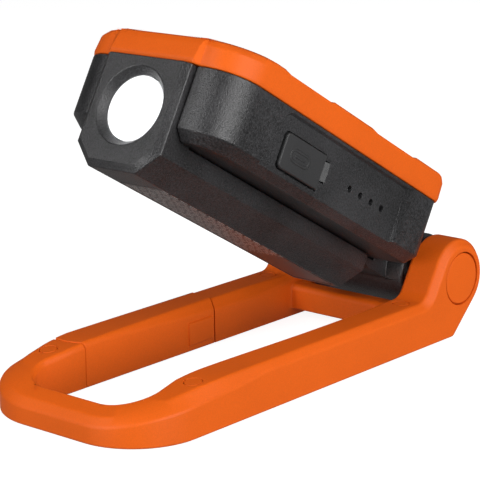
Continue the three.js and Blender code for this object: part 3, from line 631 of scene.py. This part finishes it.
def lug_profile():
    """The side view of an arm's hinge end: heel, lug, a soft root and the start of the arm's top."""
    root = 5
    sunk = -3                           # the profile runs below the floor and is cut off at it
    tip = arc((0, HINGE_HEIGHT), LUG_RADIUS, 90 - LUG_FRONT, 270 - HEEL, 28)
    front_x = tip[0][0] + (tip[0][1] - ARM_TOP) / math.tan(math.radians(LUG_FRONT))
    root_x = front_x + root * math.tan(math.radians(LUG_FRONT / 2))
    heel_x = tip[-1][0] + (tip[-1][1] - sunk) / math.tan(math.radians(HEEL))
    return [
        (JOIN_X, ARM_TOP),
        *arc((root_x, ARM_TOP + root), root, 270, 270 - LUG_FRONT, 8),
        *tip,
        (heel_x, sunk),
        (JOIN_X, sunk),
    ]


def arm_end(hand):
    """The lug and the arm's first part, up to where the loft begins."""
    points = lug_profile()
    depth_out = [outer_drop(0)] * len(points)
    depth_in = [outer_drop(0) + smooth_step(18, JOIN_X, x) for x, z in points]
    across = [hand * HALF_WIDTH, hand * ARM_INNER]
    outer = [(x, across[0], z) for x, z in inset(points, depth_out)]
    top_out = [(x, across[0] - hand * d, z) for (x, z), d in zip(points, depth_out)]
    top_in = [(x, across[1] + hand * 0.75 * d, z) for (x, z), d in zip(points, depth_in)]
    inner = [(x, across[1], z) for x, z in inset(points, depth_in)]
    rings = [outer, top_out, top_in, inner]
    for ring in rings:
        ring[0] = (JOIN_X, *ring[0][1:])
        ring[-1] = (JOIN_X, *ring[-1][1:])
    return cut(solid(rings), block((-FAR, 60), (-FAR, FAR), (-20, 0)))


def cross_bar():
    back, ahead, bottom, top, corner = CROSSBAR.values()
    profile = [(back, bottom), (ahead, bottom),
               *arc((ahead - corner, top - corner), corner, 0, 90, 5),
               *arc((back + corner, top - corner), corner, 90, 180, 5)]
    return slab(profile, side, -ARM_INNER - 1.5, ARM_INNER + 1.5)


def gate_room():
    """The gate's gap, with the room in which its tongue swings and the hole for its pin."""
    reach = TONGUE_EYE + GAP
    room = (TONGUE[0] - 1.4, TONGUE[1] + GAP)
    return [slab(gate_outline(), plan, -5, FAR),
            pin("z", reach, *room, GATE_PIVOT),
            block((GATE[1] - 2, GATE_PIVOT[0]), (-FAR, GATE_PIVOT[1] + reach), room),
            pin("z", 1.15, -1, 9.9, GATE_PIVOT)]


def hinge_room(hand):
    """The seats of the cap and of the bolt's head or nut in one lug."""
    axis = (0, HINGE_HEIGHT)
    cap_floor = hand * (HALF_WIDTH - CAP_SEAT)
    bolt_floor = hand * BOLT_ROOM["start"]
    return [pin("y", CAP_RADIUS + 0.1, *sorted((cap_floor, hand * FAR)), axis, segments=72),
            pin("y", BOLT_ROOM["radius"], *sorted((bolt_floor, hand * FAR)), axis)]


def stand_frame():
    loop = solid(half_loop(-1) + half_loop(1)[::-1])
    shape = join(loop, arm_end(1), arm_end(-1))
    shape = soften(join(shape, cross_bar()), SOFT_EDGE, angle=ROUND_ANGLE)
    plugs = [pin("z", PLUG_RADIUS + 0.05, PLUG_SEAT, 30, (x, hand * PLUG_Y)) for x, hand in PLUG_PLACES]
    bore = pin("y", HINGE_BORE, -FAR, FAR, (0, HINGE_HEIGHT))
    return cut(shape, *gate_room(), *plugs, bore, *hinge_room(-1), *hinge_room(1))


def gate_outline(latch_gap=0, pivot_gap=0):
    """The gap for the gate, seen from above, or the gate's own outline when given its clearances."""
    start = GATE[0] + latch_gap
    end = GATE[1] - pivot_gap
    return [(start, -FAR), (end, -FAR), (end, GATE_MIDDLE), (end - GATE_SLANT, -ARM_INNER),
            (end - GATE_SLANT, -10), (start + GATE_SLANT, -10), (start + GATE_SLANT, -ARM_INNER),
            (start, GATE_MIDDLE)]


def gate_lever():
    """The gate's bar and thumb pad, with the tongue that turns on the pin.

    The outer corner at the pivot end is cut back, so that it clears the arm when the gate is open.
    """
    stations = (GATE[0] - 2, *BEND_STATIONS, GATE[1] + 2)
    lever = solid([straight_section(x, -1, GATE_PROUD) for x in stations])
    lever = soften(lever, SOFT_EDGE, angle=ROUND_ANGLE)
    lever = combine(lever, "INTERSECT", [slab(gate_outline(*GATE_GAPS), plan, -5, FAR)])
    x, y = GATE_PIVOT
    end = GATE[1] - GATE_GAPS[1]
    cut_back = end - 2.8
    corner = [(end + 1, y), (end, y), (cut_back, -HALF_WIDTH), (cut_back, -FAR), (end + 1, -FAR)]
    lever = cut(lever, slab(corner, plan, -5, FAR))
    pad = block((THUMB_PAD["start"], THUMB_PAD["end"]),
                (-ARM_INNER - 1, -ARM_INNER + THUMB_PAD["rise"]),
                (THUMB_PAD["bottom"], THUMB_PAD["top"]), 0.25)
    neck = 1.5
    turn = 180 - math.degrees(math.asin(neck / TONGUE_EYE))
    tongue = [(end - 5, y - neck), *arc(GATE_PIVOT, TONGUE_EYE, -turn, turn, 32), (end - 5, y + neck)]
    lever = join(lever, pad, slab(tongue, plan, *TONGUE))
    return cut(lever, pin("z", 1.2, 0, 12, GATE_PIVOT))


def hinge_cap(hand):
    """A disc with a softened rim and a face that is very slightly crowned."""
    rim = HALF_WIDTH - 0.12
    profile = [(3, rim - 1.4), (CAP_RADIUS - 0.3, rim - 1.4), (CAP_RADIUS - 0.3, rim - 0.35),
               (CAP_RADIUS - 0.4, rim - 0.12), (CAP_RADIUS - 0.62, rim), (CAP_RADIUS * 0.6, rim + 0.06),
               (CAP_RADIUS * 0.3, rim + 0.1), (0.4, rim + 0.11)]
    return turned([(r, hand * t) for r, t in profile], "y", (0, HINGE_HEIGHT), 72)


def magnet_plug(x, hand):
    """A plug whose top follows the arm's top, with a fine groove round it."""
    centre = (x, hand * PLUG_Y)
    radius = PLUG_RADIUS - 0.14

    def ring(r, sink):
        return [(px, py, arm_top(px) - sink) for px, py in arc(centre, r, 0, 350, 35)]

    return solid([plan(arc(centre, radius, 0, 350, 35), PLUG_SEAT), ring(radius, 0.16),
                  ring(radius - 0.05, 0.05), ring(radius - 0.2, 0.01)])


piece(stand_frame(), "stand", STAND, "stand", "orange_plastic", ["stand_frame"], edge=0.12)
piece(gate_lever(), "gate", STAND, "gate", "orange_plastic", ["gate_lever"], edge=0.12)
for hand, word in ((1, "left"), (-1, "right")):
    piece(hinge_cap(hand), f"cap_{word}", STAND, "stand", "orange_plastic", [f"hinge_cap_{word}"],
          edge=0)
for number, (x, hand) in enumerate(PLUG_PLACES, 1):
    piece(magnet_plug(x, hand), f"plug_{number}", STAND, "stand", "orange_plastic",
          [f"magnet_plug_{number}"], edge=0)

# ---- the head's shells ---------------------------------------------------------------------------


def housing_plan(depth, hinge_draft=0):
    """The housing's outline seen from above, drawn in by a depth. Its hinge end leans in further."""
    return rounded(HEAD_START + depth + hinge_draft, HEAD_END - depth, HEAD_HALF - depth,
                   max(0.6, 5.5 - depth), HEAD_CORNER - depth, steps=14)


def housing_shell():
    """The black tub: walls with a chamfered foot, sunk side panels and the flap's pocket."""
    top = SEAM - 0.1
    outside = solid([plan(housing_plan(3.1), FLOOR_LEVEL), plan(housing_plan(0, 0.2), -0.2),
                     plan(housing_plan(0, 0.1), 8.5), plan(housing_plan(0), top)])
    outside = soften(outside, SHELL_EDGE, angle=ROUND_ANGLE)
    inside = slab(rounded(HEAD_START + 3.2, HEAD_END - 2.4, HEAD_HALF - 2.4, 3, 8.6), plan,
                  FLOOR_LEVEL + 2.4, 30)
    shell = cut(outside, inside)
    for hand in (-1, 1):
        shell = cut(shell, side_panel(hand))
    notch = SPINE_HALF + 0.4
    torch_room = block((TORCH_BACK - GAP, 130), (-notch, notch), (-20, FAR))
    cell_room = block((27, 116), (-9.7, 9.7), (-10, 5))
    shell = cut(shell, torch_room, cell_room)
    shell = cut(shell, *port_room())
    return cut(shell, *[pin("y", 0.95, 20, FAR, (x, PIP_LEVEL), segments=24) for x in PIPS])


def port_room():
    """The flap's pocket, the narrow one for its strap, and the charging port's opening."""
    low, high = FLAP["bottom"] - 0.45, FLAP["top"] + 0.25
    pocket = rounded(FLAP["start"] - 0.4, FLAP["end"] + 0.65, (high - low) / 2, 0.4, 1.7,
                     middle=(low + high) / 2)
    strap_start = FLAP["start"] - STRAP["length"] - GAP
    strap_levels = (STRAP["bottom"] - GAP, STRAP["top"] + GAP)
    return [slab(pocket, side, PORT_FLOOR, FAR),
            block((strap_start, FLAP["start"]), (PORT_FLOOR, FAR), strap_levels),
            block((PORT_X - 4.9, PORT_X + 4.9), (20, FAR), (PORT_LEVEL - 2, PORT_LEVEL + 2))]


def side_panel(hand):
    """The sunk panel: a ramp at its hinge end, a slanted end with a rounded corner at the torch."""
    corner = arc((92.2, 12.4), 2.6, 90, 18, 6)
    floor = [(35, -9), (35, 15), *corner, (101.4, -9)]
    brim = [(32.8, -9), (32.8, 15.6), *arc((92.2, 12.4), 3.2, 90, 18, 6), (102, -9)]
    return solid([side(floor, hand * (HEAD_HALF - PANEL_DEPTH)), side(brim, hand * HEAD_HALF),
                  side(brim, hand * (HEAD_HALF + 1))])


def spine_section(depth=0, top=FLOOR_LEVEL - GAP):
    """The spine's section: upright sides, slanted shoulders and a flat foot."""
    half = SPINE_HALF - depth
    foot = SPINE_FOOT - depth * 0.4
    shoulder = SPINE_SHOULDER + depth * 0.4
    return [(half, top), (-half, top), (-half, shoulder), (-foot, SPINE_BOTTOM + depth),
            (foot, SPINE_BOTTOM + depth), (half, shoulder)]


def spine_cover():
    """The spine, the torch block and the hinge knuckle, as one moulding."""
    spine = solid([front(inset(spine_section(), 2.6), SPINE_START),
                   front(spine_section(), SPINE_START + 3.6), front(spine_section(), TORCH_BACK + 4)])
    hollow = slab(spine_section(2), front, SPINE_START + 6, TORCH_BACK - 2)
    spine = cut(spine, hollow)
    outline = spine_section(0, SEAM + 4)
    face = inset(outline, 1.9)
    torch = solid([front(outline, TORCH_BACK), front(outline, TORCH_FACE - 1.4),
                   front(face, TORCH_FACE)])
    trim = [(TORCH_BACK - 5, SEAM - 0.25), (TORCH_FACE + 5, SEAM - 0.25), (TORCH_FACE + 5, FAR),
            (TORCH_BACK - 5, FAR)]
    torch = cut(torch, slab(trim, side, -FAR, FAR))
    shape = join(spine, torch, knuckle_barrel())
    axis = (0, TORCH_LEVEL)
    mouth = turned([(TORCH_BORE, TORCH_FACE - TORCH_MOUTH_DEPTH), (TORCH_MOUTH, TORCH_FACE + 0.05),
                    (TORCH_MOUTH, 130)], "x", axis, 96)
    bore = pin("x", TORCH_BORE, 104, TORCH_FACE + 1, axis, segments=96)
    label_outline = rounded(LABEL["start"] - GAP, LABEL["end"] + GAP, LABEL["half"] + GAP, 1)
    label = slab(label_outline, plan, -30, SPINE_BOTTOM + LABEL["depth"])
    return cut(shape, bore, mouth, label)


def knuckle_barrel():
    """The barrel that turns between the lugs, with its neck up to the housing."""
    barrel = pin("y", KNUCKLE_RADIUS, -KNUCKLE_HALF, KNUCKLE_HALF, (0, 0), chamfer=0.8, segments=96)
    neck = slab([(0, -6.2), (19, -6.2), (26, -3.5), (17.5, -3.5), (17.5, 7), (0, 7)], side, -12, 12)
    return cut(join(barrel, neck), pin("y", HINGE_BORE, -FAR, FAR, (0, 0)))


def rating_label():
    points = rounded(LABEL["start"], LABEL["end"], LABEL["half"], 1)
    return slab(points, plan, SPINE_BOTTOM + 0.02, SPINE_BOTTOM + LABEL["depth"] - 0.05)


def rim_ring(depth, level, reach, corner):
    """The rim's outline drawn in by a depth, with its nose over the torch out to a given reach."""
    half = HEAD_HALF + RIM_OVERHANG - depth
    start = HEAD_START - 0.5 + depth
    end = HEAD_END + RIM_OVERHANG - depth
    small = max(0.8, 5 - depth)
    nose = SPINE_HALF - 0.2 - depth * 0.4
    outline = [*arc((end - corner, -half + corner), corner, -90, 0, 14)[:-1], (end, -nose - 1.4),
               (reach, -nose), (reach, nose), (end, nose + 1.4),
               *arc((end - corner, half - corner), corner, 0, 90, 14)[1:],
               *arc((start + small, half - small), small, 90, 180, 8),
               *arc((start + small, -half + small), small, 180, 270, 8)]
    share = (level - SEAM) / (RIM_TOP - SEAM)
    return [(x, y, level - share * RIM_FALL * max(0, x - RIM_FOLD)) for x, y in outline]


def rim_recess(start, end, hand):
    """A dip in the rim's top between two pads, open to the side and with soft slopes at its ends."""
    slope = 2.2
    low = RIM_TOP - RIM_RECESS_DEPTH
    profile = [(start - slope, RIM_TOP), (start, low), (end, low), (end + slope, RIM_TOP),
               (end + slope, RIM_TOP + 3), (start - slope, RIM_TOP + 3)]
    return slab(profile, side, *sorted((hand * (WINDOW["half"] + 2.2), hand * FAR)))


def bezel_frame():
    """The orange rim, with a seat for the window and a dish round the button."""
    reach = TORCH_FACE - 1.2
    depths = (0.3, 0, 0.15, 0.9, RIM_EDGE)
    levels = (SEAM, SEAM + 1.2, 22.4, 24.2, RIM_TOP)
    leans = (0.4, 0, 1.1, 2.0, 3.3)     # how far the nose leans back at each level
    rim = solid([rim_ring(depth, level, reach - lean, corner)
                 for depth, level, lean, corner in zip(depths, levels, leans, RIM_CORNERS)],
                fold=RIM_FOLD_POINTS)
    rim = soften(rim, SHELL_EDGE, angle=ROUND_ANGLE)
    rim = cut(rim, *[rim_recess(low, high, hand) for hand in (-1, 1) for low, high in RIM_RECESSES])

    def opening(place, margin, corner):
        return rounded(place["start"] - margin, place["end"] + margin, place["half"] + margin, corner)

    flush = RIM_TOP + 0.01              # just above the rim, so that no sliver is left
    seat = slab(opening(WINDOW, GAP, 4), plan, WINDOW["bottom"] - GAP, FAR)
    lip = solid([plan(opening(WINDOW, 1.4, 5), flush), plan(opening(WINDOW, GAP, 4), RIM_TOP - 1.1)])
    through = slab(opening(WINDOW, -2, 3), plan, 0, FAR)
    key = slab(opening(BUTTON, GAP, 3.5), plan, 10, FAR)
    dish = solid([plan(opening(BUTTON, 1.6, 4.8), flush),
                  plan(opening(BUTTON, GAP, 3.5), RIM_TOP - 0.8)])
    flange_room = block((18.2, 29.8), (-11, 11), (0, 22.4))
    return cut(rim, seat, lip, through, key, dish, flange_room)


def front_window():
    points = rounded(WINDOW["start"], WINDOW["end"], WINDOW["half"], 3.7)
    return slab(points, plan, WINDOW["bottom"], WINDOW["top"], chamfer=0.4)


def power_button():
    """A soft key with a shallow dished top and a raised ring to feel for."""
    start, end, half = BUTTON["start"], BUTTON["end"], BUTTON["half"]
    top = RIM_TOP + 0.5
    steps = [(0, 3.2, 20.8), (0, 3.2, top - 0.9), (0.35, 2.9, top - 0.3), (1, 2.3, top),
             (2.2, 1.7, top - 0.25)]
    cap = solid([plan(rounded(start + depth, end - depth, half - depth, corner), level)
                 for depth, corner, level in steps])
    middle = ((start + end) / 2, 0)
    ring = turned([(1.35, top - 0.6), (1.75, top - 0.6), (1.75, top - 0.05), (1.35, top - 0.05)], "z",
                  middle, 48, closed=True)
    flange = block((start - 1.2, end + 1.2), (-9.5, 9.5), (20.4, 21.8))
    return join(cap, flange, ring)


# ---- inside the head -----------------------------------------------------------------------------


def lamp_plan(margin, corner=2):
    return rounded(LAMP["start"] + margin, LAMP["end"] - margin, LAMP["half"] - margin, corner)


def reflector_tray():
    """The white tray round the light panel, with walls that slope in to it."""
    return solid([plan(lamp_plan(0), 17.9), plan(lamp_plan(0), 21.4), plan(lamp_plan(0.9), 21.4),
                  plan(lamp_plan(4.6), 18.5), plan(lamp_plan(5.4), 18.5), plan(lamp_plan(5.4), 17.9)],
                 closed=True)


def lamp_emitter():
    """The light panel: a gel-filled dam, slightly crowned, on its own carrier."""
    return solid([plan(lamp_plan(6.5, 1.5), 18.0), plan(lamp_plan(6.5, 1.5), 18.35),
                  plan(lamp_plan(6.9, 1.3), 18.55), plan(lamp_plan(8.4, 1), 18.6)])


def cell():
    """A wrapped cell with crimped shoulders and a button end."""
    start, end, radius, level = CELL.values()
    profile = [(radius - 1.6, start), (radius - 0.4, start + 0.1), (radius, start + 0.6),
               (radius, end - 5), (radius - 0.35, end - 4.4), (radius - 0.35, end - 3.8),
               (radius, end - 3.2), (radius, end - 1.7), (radius - 0.5, end - 1.1),
               (radius - 2.2, end - 1), (3.2, end - 1), (2.9, end - 0.1), (2.6, end)]
    return turned(profile, "x", (0, level), 64)


def torch_lens():
    """A moulded collimator lens: a rim, a shallow crown and a raised middle ring."""
    face = TORCH_FACE - TORCH_MOUTH_DEPTH - 0.2
    radius = TORCH_BORE - 0.3
    profile = [(0.3, face - 1.4), (radius, face - 1.4), (radius, face), (radius - 0.5, face + 0.12)]
    crown = [(radius * math.cos(a) * 0.94, face + 0.12 + 0.83 * math.sin(a))
             for a in (math.pi / 2 * i / 8 for i in range(1, 8))]
    return turned(profile + crown + [(0.3, face + 0.95)], "x", (0, TORCH_LEVEL), 72)


def torch_reflector():
    """A parabolic cup."""
    back, mouth = 106, TORCH_FACE - 4.4
    wide = TORCH_BORE - 1.3

    def inner(share):
        return 2.2 + (wide - 2.2) * math.sqrt(share)

    shares = [0, 0.04, 0.1, 0.2, 0.32, 0.46, 0.62, 0.8, 1]
    profile = [(inner(s), back + (mouth - back) * s) for s in shares]
    profile += [(inner(s) + 0.9, back + (mouth - back) * s) for s in reversed(shares)]
    return turned(profile, "x", (0, TORCH_LEVEL), 40, closed=True)


def light_guide():
    """The clear bar behind the four indicator holes, with a stub that reaches into each."""
    first, last = PIPS[0], PIPS[-1]
    bar = block((first - 2, last + 2), (23.6, 25.2), (PIP_LEVEL - 1.5, PIP_LEVEL + 1.5), 0.25)
    return join(bar, *[pin("y", 0.8, 25, 25.7, (x, PIP_LEVEL), 0.2, 24) for x in PIPS])


def port_flap():
    """The charging flap: a raised pad with a plain port mark, a plug behind it and a bending strap."""
    start, end, low, high = FLAP["start"], FLAP["end"], FLAP["bottom"], FLAP["top"]
    inner = PORT_FLOOR + 0.6
    middle = (low + high) / 2
    outline = rounded(start, end, (high - low) / 2, 0.5, 1.6, middle=middle)
    face = HEAD_HALF - 0.12
    pad = solid([side(outline, inner), side(outline, face - 0.35), side(inset(outline, 0.3), face)])
    bend = [(start - STRAP["length"], face - 0.05), (start - 0.1, inner + 0.05),
            (start + 0.3, inner + 0.05), (start + 0.3, inner), (start - 1.7, inner + 0.1)]
    strap = slab(bend, plan, STRAP["bottom"], STRAP["top"])
    plug = block((PORT_X - 3.6, PORT_X + 3.6), (PORT_FLOOR - 0.6, inner + 0.2),
                 (PORT_LEVEL - 1, PORT_LEVEL + 1))
    flap = join(pad, strap, plug)
    mark_x, mark_z = PORT_X + 0.6, middle
    wide = rounded(mark_x - 4.4, mark_x + 4.4, 1.9, 1.9, middle=mark_z)
    slot_shape = rounded(mark_x - 3.7, mark_x + 3.7, 1.2, 1.2, middle=mark_z)
    tongue = rounded(mark_x - 2.3, mark_x + 2.3, 0.3, 0.3, middle=mark_z)
    ring = cut(slab(wide, side, face - 0.3, HEAD_HALF),
               slab(slot_shape, side, face - 0.5, HEAD_HALF + 1))
    return join(flap, ring, slab(tongue, side, face - 0.3, HEAD_HALF))


piece(housing_shell(), "housing", HEAD, "head", "black_plastic", ["housing_shell"], edge=0.12,
      sharp=18)
piece(spine_cover(), "spine", HEAD, "head", "black_plastic", ["spine_cover"], edge=0.3)
piece(rating_label(), "label", HEAD, "head", "label_film", ["rating_label"], edge=0.05)
piece(bezel_frame(), "rim", HEAD, "head", "orange_plastic", ["bezel_frame"], edge=0.12)
piece(front_window(), "window", HEAD, "head", "diffuser", ["front_window"], edge=0.1)
piece(power_button(), "button", HEAD, "power_button", "black_rubber", ["power_button"], edge=0.08)
piece(reflector_tray(), "tray", HEAD, "head", "white_board", ["reflector_tray"], edge=0.15)
piece(lamp_emitter(), "light_panel", HEAD, "head", "phosphor", ["lamp_emitter"], edge=0)
piece(cell(), "battery", HEAD, "head", "cell_wrap", ["battery_cell"], edge=0)
piece(torch_lens(), "lens", HEAD, "head", "clear_plastic", ["torch_lens"], edge=0)
piece(torch_reflector(), "reflector", HEAD, "head", "mirror", ["torch_reflector"], edge=0)
piece(light_guide(), "light_pips", HEAD, "head", "diffuser", ["indicator_light_guide"], edge=0)
piece(port_flap(), "flap", HEAD, "port_flap", "black_rubber", ["port_flap"], edge=0.12)

# ---- the frame's own pieces ----------------------------------------------------------------------

for part in frame["record"]["subparts"]:
    node = frame["nodes"][part["node"]]
    node.data.materials.clear()
    node.data.materials.append(MATERIALS[part["material_slot"]])

# ---- the stage -----------------------------------------------------------------------------------


def studio_floor():
    """A pale floor that takes shadows. It doesn't throw its own brightness back at the object."""
    half = 4
    floor = object_from("floor", bpy.data.meshes.new("floor"))
    work = bmesh.new()
    bmesh.ops.create_grid(work, x_segments=8, y_segments=8, size=half)
    bmesh.ops.translate(work, verts=work.verts, vec=(0, 0, -0.0002))
    work.to_mesh(floor.data)
    work.free()
    material, principled, add, link = shader("floor")
    where = place_on(add)
    dust = add("ShaderNodeTexNoise", Vector=where, Scale=3.0, Detail=2.0).outputs["Fac"]
    link(ramp(add, dust, 0.3, 0.7, (0.36, 0.36, 0.36), (0.38, 0.38, 0.38)), "Base Color")
    principled.inputs["Emission Color"].default_value = (1, 1, 1, 1)
    principled.inputs["Emission Strength"].default_value = 0.9
    principled.inputs["Roughness"].default_value = 0.9
    principled.inputs["Specular IOR Level"].default_value = 0.1
    floor.data.materials.append(material)
    floor.visible_diffuse = False
    floor.visible_glossy = False


def soft_box(name, place, target, width, height, power):
    light = bpy.data.lights.new(name, "AREA")
    light.shape = "RECTANGLE"
    light.size = width
    light.size_y = height
    light.energy = power
    obj = object_from(name, light)
    obj.location = place
    obj.rotation_euler = (Vector(target) - Vector(place)).to_track_quat("-Z", "Y").to_euler()


def studio_world():
    """A dim studio, brightest below the horizon, where a pale floor would be."""
    world = bpy.data.worlds.new("studio")
    bpy.context.scene.world = world
    world.use_nodes = True
    tree = world.node_tree
    place = tree.nodes.new("ShaderNodeTexCoord")
    split = tree.nodes.new("ShaderNodeSeparateXYZ")
    shade_ramp = tree.nodes.new("ShaderNodeValToRGB")
    shift_range = tree.nodes.new("ShaderNodeMapRange")
    tree.links.new(place.outputs["Generated"], split.inputs[0])
    tree.links.new(split.outputs["Z"], shift_range.inputs["Value"])
    shift_range.inputs["From Min"].default_value = -1
    tree.links.new(shift_range.outputs["Result"], shade_ramp.inputs["Fac"])
    stops = shade_ramp.color_ramp.elements
    stops[0].position = 0.42
    stops[0].color = (1, 1, 1, 1)
    stops[1].position = 0.52
    stops[1].color = (0.45, 0.45, 0.45, 1)
    zenith = stops.new(0.95)
    zenith.color = (0.2, 0.2, 0.2, 1)
    tree.links.new(shade_ramp.outputs["Color"], tree.nodes["Background"].inputs["Color"])
    tree.nodes["Background"].inputs["Strength"].default_value = 0.2


def studio_camera():
    """A long lens that looks along the stand's right-hand diagonal, a little from above."""
    data = bpy.data.cameras.new("camera")
    data.lens = LENS
    data.sensor_width = 36
    data.clip_start = 0.01
    camera = object_from("camera", data)
    roll = math.radians(CAMERA_ROLL)
    forward = Vector(CAMERA_FORWARD).normalized()
    right = forward.cross(Vector((0, 0, 1))).normalized()
    up = right.cross(forward)
    across = right * math.cos(roll) + up * math.sin(roll)
    upwards = up * math.cos(roll) - right * math.sin(roll)
    turn = Matrix((across, upwards, -forward)).transposed().to_4x4()
    camera.matrix_world = Matrix.Translation(HINGE + Vector(CAMERA_FROM_HINGE)) @ turn
    bpy.context.scene.camera = camera


studio_floor()
studio_world()
studio_camera()
soft_box("side_low", (0.15, 0.95, 0.2), (0, 0, 0.04), 0.9, 0.4, 7)
soft_box("side_high", (0, 0.75, 0.75), (0, 0, 0.04), 0.8, 0.4, 4.6)
soft_box("torch_low", (1, -0.1, 0.12), (0, 0, 0.04), 0.5, 0.5, 4.5)
soft_box("torch_high", (0.75, -0.3, 0.65), (0, 0, 0.04), 0.5, 0.5, 3.6)
soft_box("top_box", (-0.2, 0.1, 1.1), (0, 0, 0), 0.8, 0.8, 0.6)
bpy.context.scene.view_settings.view_transform = "Standard"
